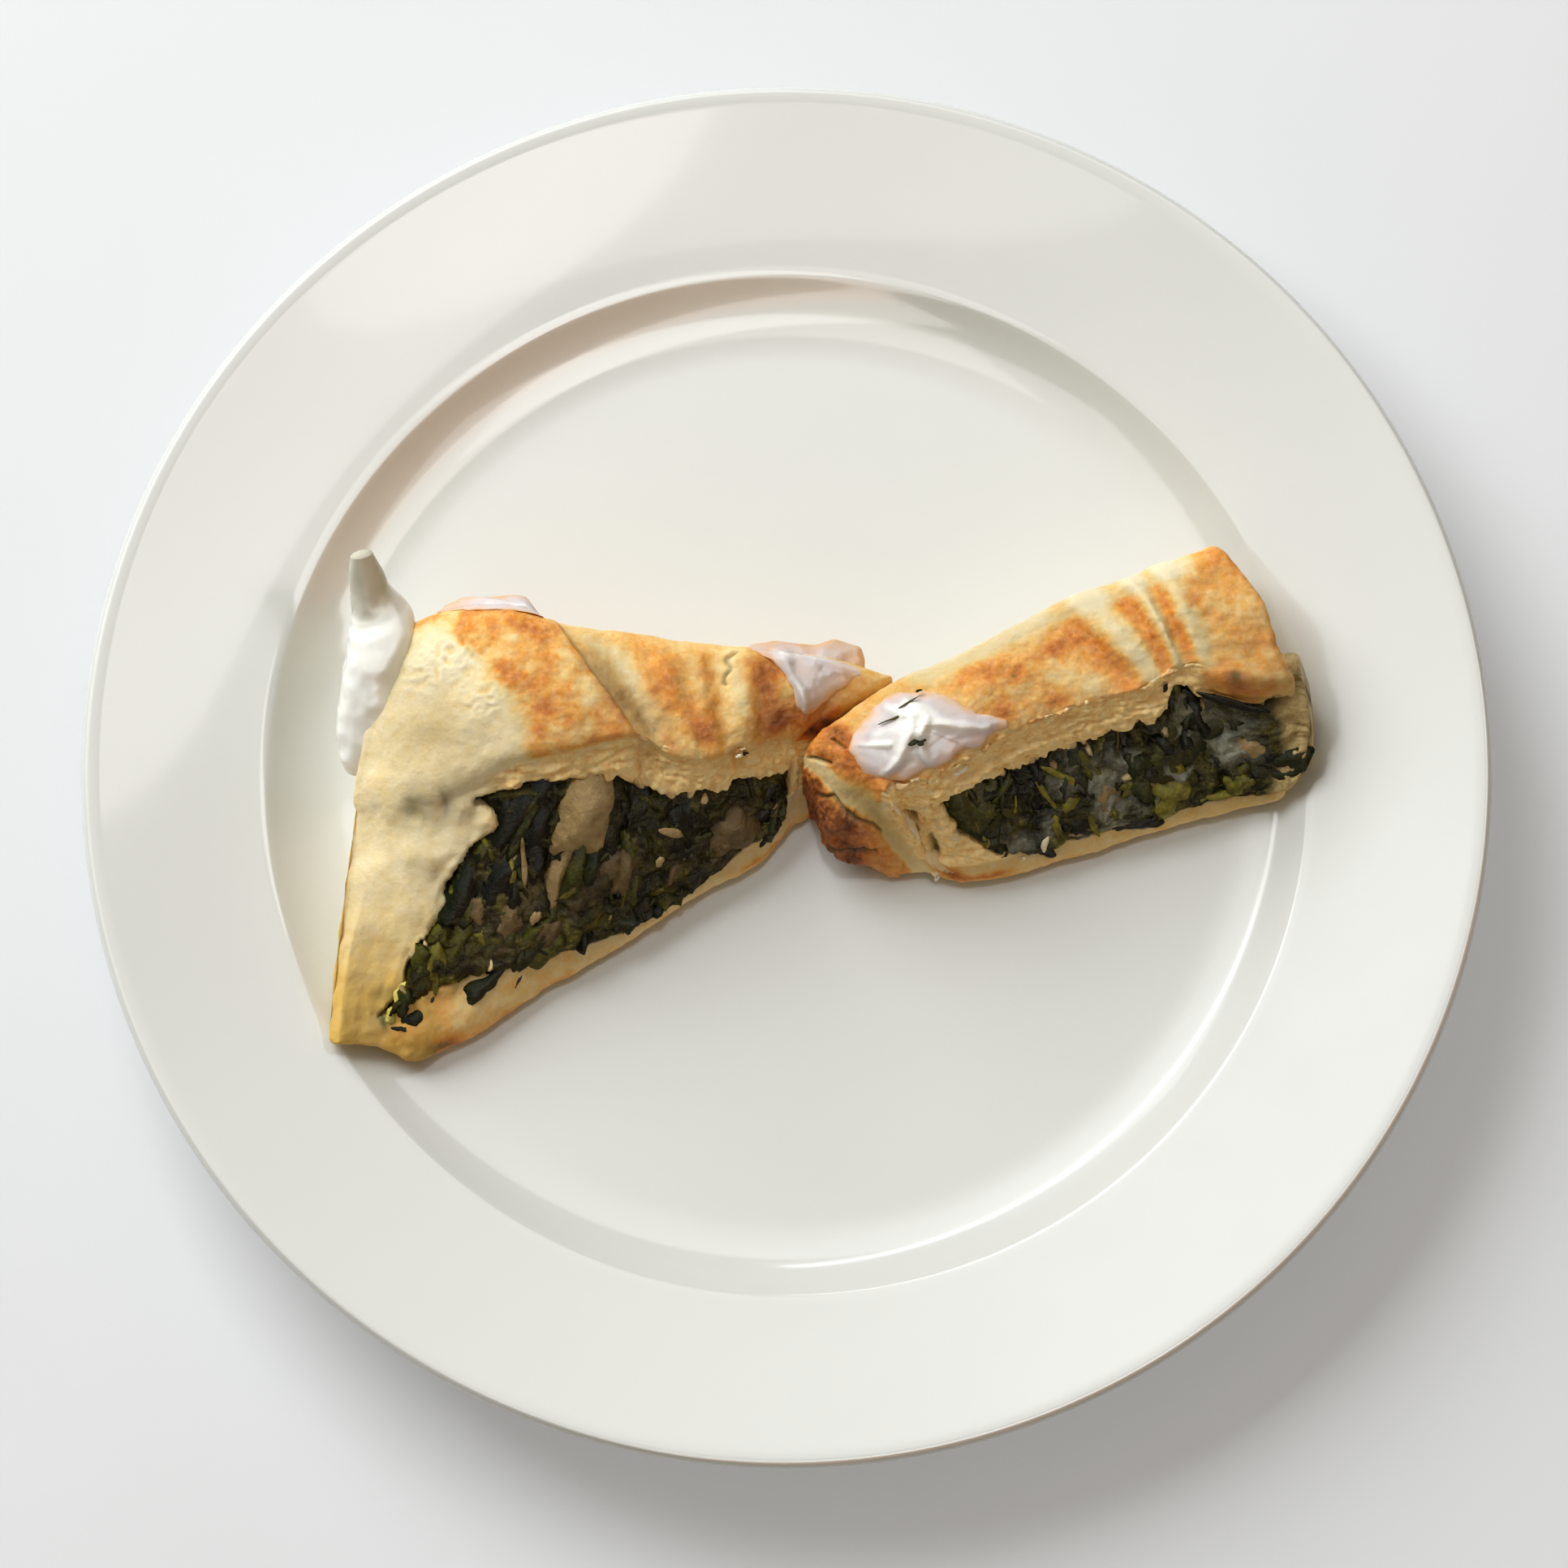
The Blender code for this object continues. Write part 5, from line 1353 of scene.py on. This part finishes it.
RIGHT_FLAKES = (
    (0.2, 1.02, 2.8, 1.8, 0.3, 0.7, 1.5, 0.7, -0.4, 0.25),
    (0.205, 1.15, 1.8, 2.6, 0.1, 0.9, 1.5, 0.6, -0.3, 0.12),
    (0.214, 1.29, 0.9, 2.0, 0.1, 0.8, 0.9, 0.3, 0.0, 0.08),
    (0.25, 1.05, 3.0, 1.6, -0.2, 0.2, 1.1, 0.9, -0.4, 0.3),
    (0.325, 1.5, 2.4, 5.6, -0.25, 0.0, 1.6, 0.9, -0.4, 0.16),
    (0.285, 1.34, 2.6, 1.5, 0.4, 0.0, 0.8, 1.2, -0.6, 0.12),
    (0.25, 1.72, 4.2, 2.6, 0.2, 0.0, 1.2, 1.4, -0.5, 0.2),
    (0.225, 1.47, 1.6, 2.4, 0.3, 0.0, 0.8, 1.2, -0.5, 0.14),
    (0.23, 2.04, 0.8, 1.6, 0.1, 0.6, 1.1, 0.3, 0.0, -0.1),
    (0.225, 1.94, 1.4, 1.0, 0.2, 0.7, 1.2, 0.5, 0.0, 0.1),
    (0.395, 1.12, 1.8, 1.0, 0.3, 0.4, 0.8, 0.4, 0.0, -0.1),
    (0.54, 1.29, 1.8, 1.6, 0.2, 0.5, 0.6, 0.5, -0.4, 0.3),
    (0.725, 1.27, 1.3, 2.0, 0.1, 0.5, 0.6, 0.5, -0.4, 0.25),
    (0.765, 1.25, 1.5, 1.5, 0.0, 0.5, 0.6, 0.5, -0.4, 0.2),
    (0.84, 1.16, 1.2, 2.2, 0.2, 0.4, 0.6, 0.5, -0.4, 0.3),
    (0.625, 1.29, 2.2, 1.2, 0.1, 0.5, 0.6, 0.5, -0.4, 0.28),
    (0.47, 1.29, 1.8, 1.2, 0.4, 0.4, 0.6, 0.5, -0.4, 0.3),
)
LEFT_FLAKES = (
    (0.772, 1.09, 1.3, 1.0, 0.4, 0.3, 0.9, 0.4, 0.0, -0.1),
    (0.6, 1.29, 2.6, 1.2, 0.1, 0.5, 0.6, 0.5, -0.3, 0.25),
    (0.67, 1.285, 2.2, 1.4, -0.1, 0.5, 0.6, 0.5, -0.3, 0.2),
    (0.84, 1.29, 2.2, 1.2, 0.1, 0.5, 0.6, 0.5, -0.3, 0.25),
    (0.52, 1.28, 2.6, 1.1, 0.2, 0.4, 0.6, 0.5, -0.3, 0.3),
    (0.75, 1.3, 1.6, 1.2, 0.0, 0.6, 0.6, 0.5, -0.3, 0.1),
)
LEFT_STRAY_LEAVES = (
    (0.325, 1.7, 5.0, 2.7, -0.15, 0.7, 1.0, 0.9, -1.4, 0.24),
    (0.378, 1.755, 1.0, 2.2, 0.3, 0.4, 0.6, 0.5, -0.4, 0.24),
    (0.785, 1.12, 1.9, 1.0, 0.5, 0.0, 0.6, 0.3, 0.0, 0.15),
    (0.2, 1.71, 5.0, 1.6, -0.35, 0.5, 0.8, 0.5, -0.6, 0.2),
    (0.165, 1.765, 3.0, 0.8, -0.4, 0.5, 0.6, 0.3, -0.2, 0.12),
    (0.905, 1.64, 2.6, 5.0, 0.1, 0.6, 0.5, 0.5, -0.6, 0.03),
    (0.345, 1.265, 3.6, 0.55, -0.1, 0.3, 0.6, 0.3, 0.0, 0.9),
    (0.155, 1.66, 1.6, 2.0, 0.2, 0.2, 1.3, 0.4, -0.2, 1.0),
    (0.135, 1.74, 1.4, 1.6, 0.4, 0.1, 1.0, 0.4, -0.2, 0.9),
)
RIGHT_STRAY_LEAVES = (
    (0.745, 1.8, 3.6, 2.4, 0.2, 0.8, 0.5, 0.6, -0.6, 0.08),
    (0.7, 1.76, 2.0, 1.0, 0.0, 0.8, 0.5, 0.5, -0.3, 0.3),
    (0.87, 1.72, 2.2, 2.0, 0.1, 0.8, 0.5, 0.6, -0.6, 0.1),
    (0.54, 1.78, 1.8, 2.0, 0.3, 0.8, 0.5, 0.6, -0.6, 0.02),
    (0.5, 1.68, 2.0, 1.4, 0.8, 0.6, 0.5, 0.5, -0.4, 0.5),
    (0.93, 1.3, 3.4, 0.7, 0.3, 2.6, 0.4, 0.3, -0.2, 0.1),
    (0.835, 1.22, 0.6, 3.6, 0.1, 1.0, 0.4, 0.3, 0.0, 0.12),
    (0.6, 1.42, 3.2, 0.7, 0.5, 1.4, 0.5, 0.3, 0.0, 0.72),
    (0.56, 1.47, 2.6, 0.6, 0.9, 1.4, 0.5, 0.3, 0.0, 0.66),
    (0.665, 1.44, 3.0, 1.2, 0.8, 1.2, 0.5, 0.5, 0.0, 0.58),
    (0.735, 1.56, 2.8, 0.9, -0.1, 1.3, 0.5, 0.4, 0.0, 0.6),
    (0.57, 1.62, 0.8, 2.2, 0.1, 1.3, 0.5, 0.3, 0.0, 0.7),
    (0.645, 1.66, 0.9, 2.6, -0.2, 1.3, 0.5, 0.3, 0.0, 0.62),
    (0.48, 1.5, 2.8, 1.0, 0.4, 1.1, 0.5, 0.4, 0.0, 0.5),
)
DILL = (
    (0.352, 0.62, 1.5, 0.9, 0.2, 2.1, 0.5, 0.3, 0.0, 0.34),
    (0.362, 0.665, 0.8, 0.7, 0.2, 2.0, 0.5, 0.3, 0.0, 0.3),
    (0.355, 0.37, 2.8, 0.25, 0.2, 1.6, 0.35, 0.2, 0.0, 0.5),
    (0.385, 0.31, 2.0, 0.25, -0.1, 1.5, 0.35, 0.2, 0.0, 0.5),
    (0.415, 0.26, 0.5, 0.35, 0.3, 1.5, 0.4, 0.1, 0.0, 0.1),
)


def make_food():
    """Both pastries and their fillings, then what lies on them, then the sauces."""
    pastry, spinach, sauce = baked_pastry(), spinach_mass(), yoghurt_sauce()
    leaf, cheese, flake = wilted_leaf(), soft_cheese(), torn_flake()
    left = pastry_body(LEFT, 2.0, left_roundness, left_details, 100)
    right = pastry_body(RIGHT, 2.2, right_roundness, right_details, 200)
    dress("left_crust", left, pastry, "pastry", "left_pastry")
    dress("right_crust", right, pastry, "pastry", "right_pastry")
    left = filling_body(LEFT, 0.1, 0.945, LEFT_CHEESY, end_dough=0.0, cream=0.1)
    right = filling_body(RIGHT, 0.31, 0.985, RIGHT_CHEESY, end_dough=1.0, cream=0.85)
    dress("left_spinach", left, spinach, "spinach_filling", "left_filling",
          "left_feta_1", "left_feta_2", "left_feta_3")
    dress("right_spinach", right, spinach, "spinach_filling", "right_filling")
    leaf_litter("left_leaves", LEFT, 310, LEFT_EXTENT, (2.8, 7.4), leaf)
    leaf_litter("right_leaves", RIGHT, 410, RIGHT_EXTENT, (2.2, 6.2), leaf)
    listed("left_cheese", "feta", cheese, filling_skin(LEFT), 320, LEFT_CHEESE, LEFT.span)
    listed("right_cheese", "feta", cheese, filling_skin(RIGHT), 420, RIGHT_CHEESE, RIGHT.span)
    for side, slice_, seed, extent, edge, flakes, stray in (
        ("left", LEFT, 600, LEFT_EXTENT, (0.5, 0.97), LEFT_FLAKES, LEFT_STRAY_LEAVES),
        ("right", RIGHT, 620, RIGHT_EXTENT, (0.22, 0.9), RIGHT_FLAKES, RIGHT_STRAY_LEAVES),
    ):
        rows = np.concatenate([flakes, broken_edge(30, seed, edge)])
        stems = strewn(slice_, 16, seed + 3, extent, (1.4, 4.0), (0.35, 0.9), (0.1, 0.8), 0.5, (0.3, 0.72))
        crumbs = strewn(slice_, 8, seed + 4, extent, (0.4, 1.1), (0.4, 0.9), (0.2, 0.9), 0.8, (0.3, 0.8))
        skin, around = filling_skin(slice_), slice_.around
        for what, slot, look, under, number, places, grid, ragged in (
            ("_flakes", "pastry", flake, around, 1, rows, SMALL_GRID, 1.1),
            ("_stems", "spinach_filling", leaf, skin, 5, stems, SMALL_GRID, 0.6),
            ("_cheese_crumbs", "feta", cheese, skin, 6, crumbs, SMALL_GRID, 0.8),
            ("_stray_leaves", "spinach_filling", leaf, around, 2, stray, LEAF_GRID, 0.9),
        ):
            listed(side + what, slot, look, under, seed + number, places, slice_.span, grid, ragged)
    listed("dill", "spinach_filling", leaf, RIGHT.around, 640, DILL, (98.0, 24.0), SMALL_GRID, 1.0)
    for name, node, *form in (
        ("right", "sauce_right", RIGHT, RIGHT_DOLLOP, (0.37, 0.52), 0.7, 1.1, 1.5, RIGHT_RIDGES, 500),
        ("tip", "sauce_left_tip", LEFT, TIP_DOLLOP, (0.885, 0.06), 0.9, 0.9, 3.0, TIP_RIDGES, 520),
        ("back", "sauce_left_back", LEFT, BACK_STRIP, (0.39, -0.02), 0.9, 0.8, 2.2, (), 540),
    ):
        dress("yoghurt_" + name, dollop(*form), sauce, "yoghurt", node)
    dress("yoghurt_side", side_sauce(560), sauce, "yoghurt", "sauce_left_side")


# ---------------------------------------- light, table and camera
AIM_X, AIM_Y = -0.0005, 0.00188
CAMERA_DISTANCE = 2.0
CAMERA_ELEVATION = 78.19
FOCAL_LENGTH = 237.15
TABLE_REACH = 3000.0
WARM_WHITE = (1.0, 0.99, 0.965)


def lamp(name, azimuth, elevation, distance, size, watts, tint, roll=0.0):
    """Area light on a sphere round the plate, facing its middle: angles in degrees, the rest in metres."""
    light = bpy.data.lights.new(name, "AREA")
    light.shape = "RECTANGLE"
    light.size, light.size_y = size
    light.energy = watts
    light.color = tint
    piece = bpy.data.objects.new(name, light)
    turn, tilt = math.radians(azimuth), math.radians(elevation)
    away = (math.cos(turn) * math.cos(tilt), math.sin(turn) * math.cos(tilt), math.sin(tilt))
    piece.location = [distance * part for part in away]
    facing = Euler((math.pi / 2 - tilt, 0.0, turn + math.pi / 2)).to_matrix()
    piece.rotation_euler = (facing @ Matrix.Rotation(math.radians(roll), 3, "Z")).to_euler()
    bpy.context.scene.collection.objects.link(piece)
    return piece


def make_light():
    """Warm dim surroundings, two softboxes, and cards that only gleams on the pieces show."""
    world = bpy.data.worlds.new("studio")
    bpy.context.scene.world = world
    world.use_nodes = True
    sky = world.node_tree.nodes["Background"]
    sky.inputs["Color"].default_value = (1.0, 0.83, 0.6, 1.0)
    sky.inputs["Strength"].default_value = 0.215
    softboxes = (
        lamp("key_softbox", 130.0, 40.0, 1.8, (1.3, 1.3), 47.5, (0.955, 0.98, 1.0)),
        lamp("top_softbox", 90.0, 76.0, 1.8, (1.4, 1.4), 2.0, (1.0, 0.99, 0.97)),
    )
    for softbox in softboxes:
        softbox.visible_glossy = False
    gleams = (
        lamp("ceiling_card", 90.0, 80.0, 2.2, (5.2, 5.2), 160.0, (1.0, 1.0, 1.0)),
        lamp("rim_card", -41.0, 58.5, 2.0, (5.0, 0.8), 38.0, WARM_WHITE),
        lamp("front_card", -82.0, 61.0, 2.0, (1.8, 0.8), 8.0, WARM_WHITE),
        lamp("window_strip", 127.0, 33.5, 2.2, (3.0, 0.14), 8.5, (1.0, 1.0, 1.0), 8.0),
        lamp("warm_room", -48.0, 29.0, 2.0, (4.4, 1.6), 28.0, (1.0, 0.36, 0.06)),
    )
    for gleam in gleams:
        gleam.visible_diffuse = False


def make_table():
    """A level square that the plate stands on."""
    corners = TABLE_REACH * np.array([(-1, -1, 0), (1, -1, 0), (1, 1, 0), (-1, 1, 0)])
    table = make_piece("table", corners, [np.array([[0, 1, 2, 3]])], pale_table())


def make_camera():
    """Long lens from the front, nearly straight above the plate."""
    camera = bpy.data.cameras.new("camera")
    camera.lens = FOCAL_LENGTH
    camera.sensor_width = 36.0
    piece = bpy.data.objects.new("camera", camera)
    tilt = math.radians(CAMERA_ELEVATION)
    piece.location = (AIM_X, AIM_Y - CAMERA_DISTANCE * math.cos(tilt), CAMERA_DISTANCE * math.sin(tilt))
    piece.rotation_euler = (math.pi / 2 - tilt, 0.0, 0.0)
    bpy.context.scene.collection.objects.link(piece)
    bpy.context.scene.camera = piece


make_camera()
make_light()
make_table()
dress("dinner_plate", plate_shape(), glazed_porcelain(), "porcelain", "plate")
make_food()
bpy.context.scene.view_settings.view_transform = "Standard"
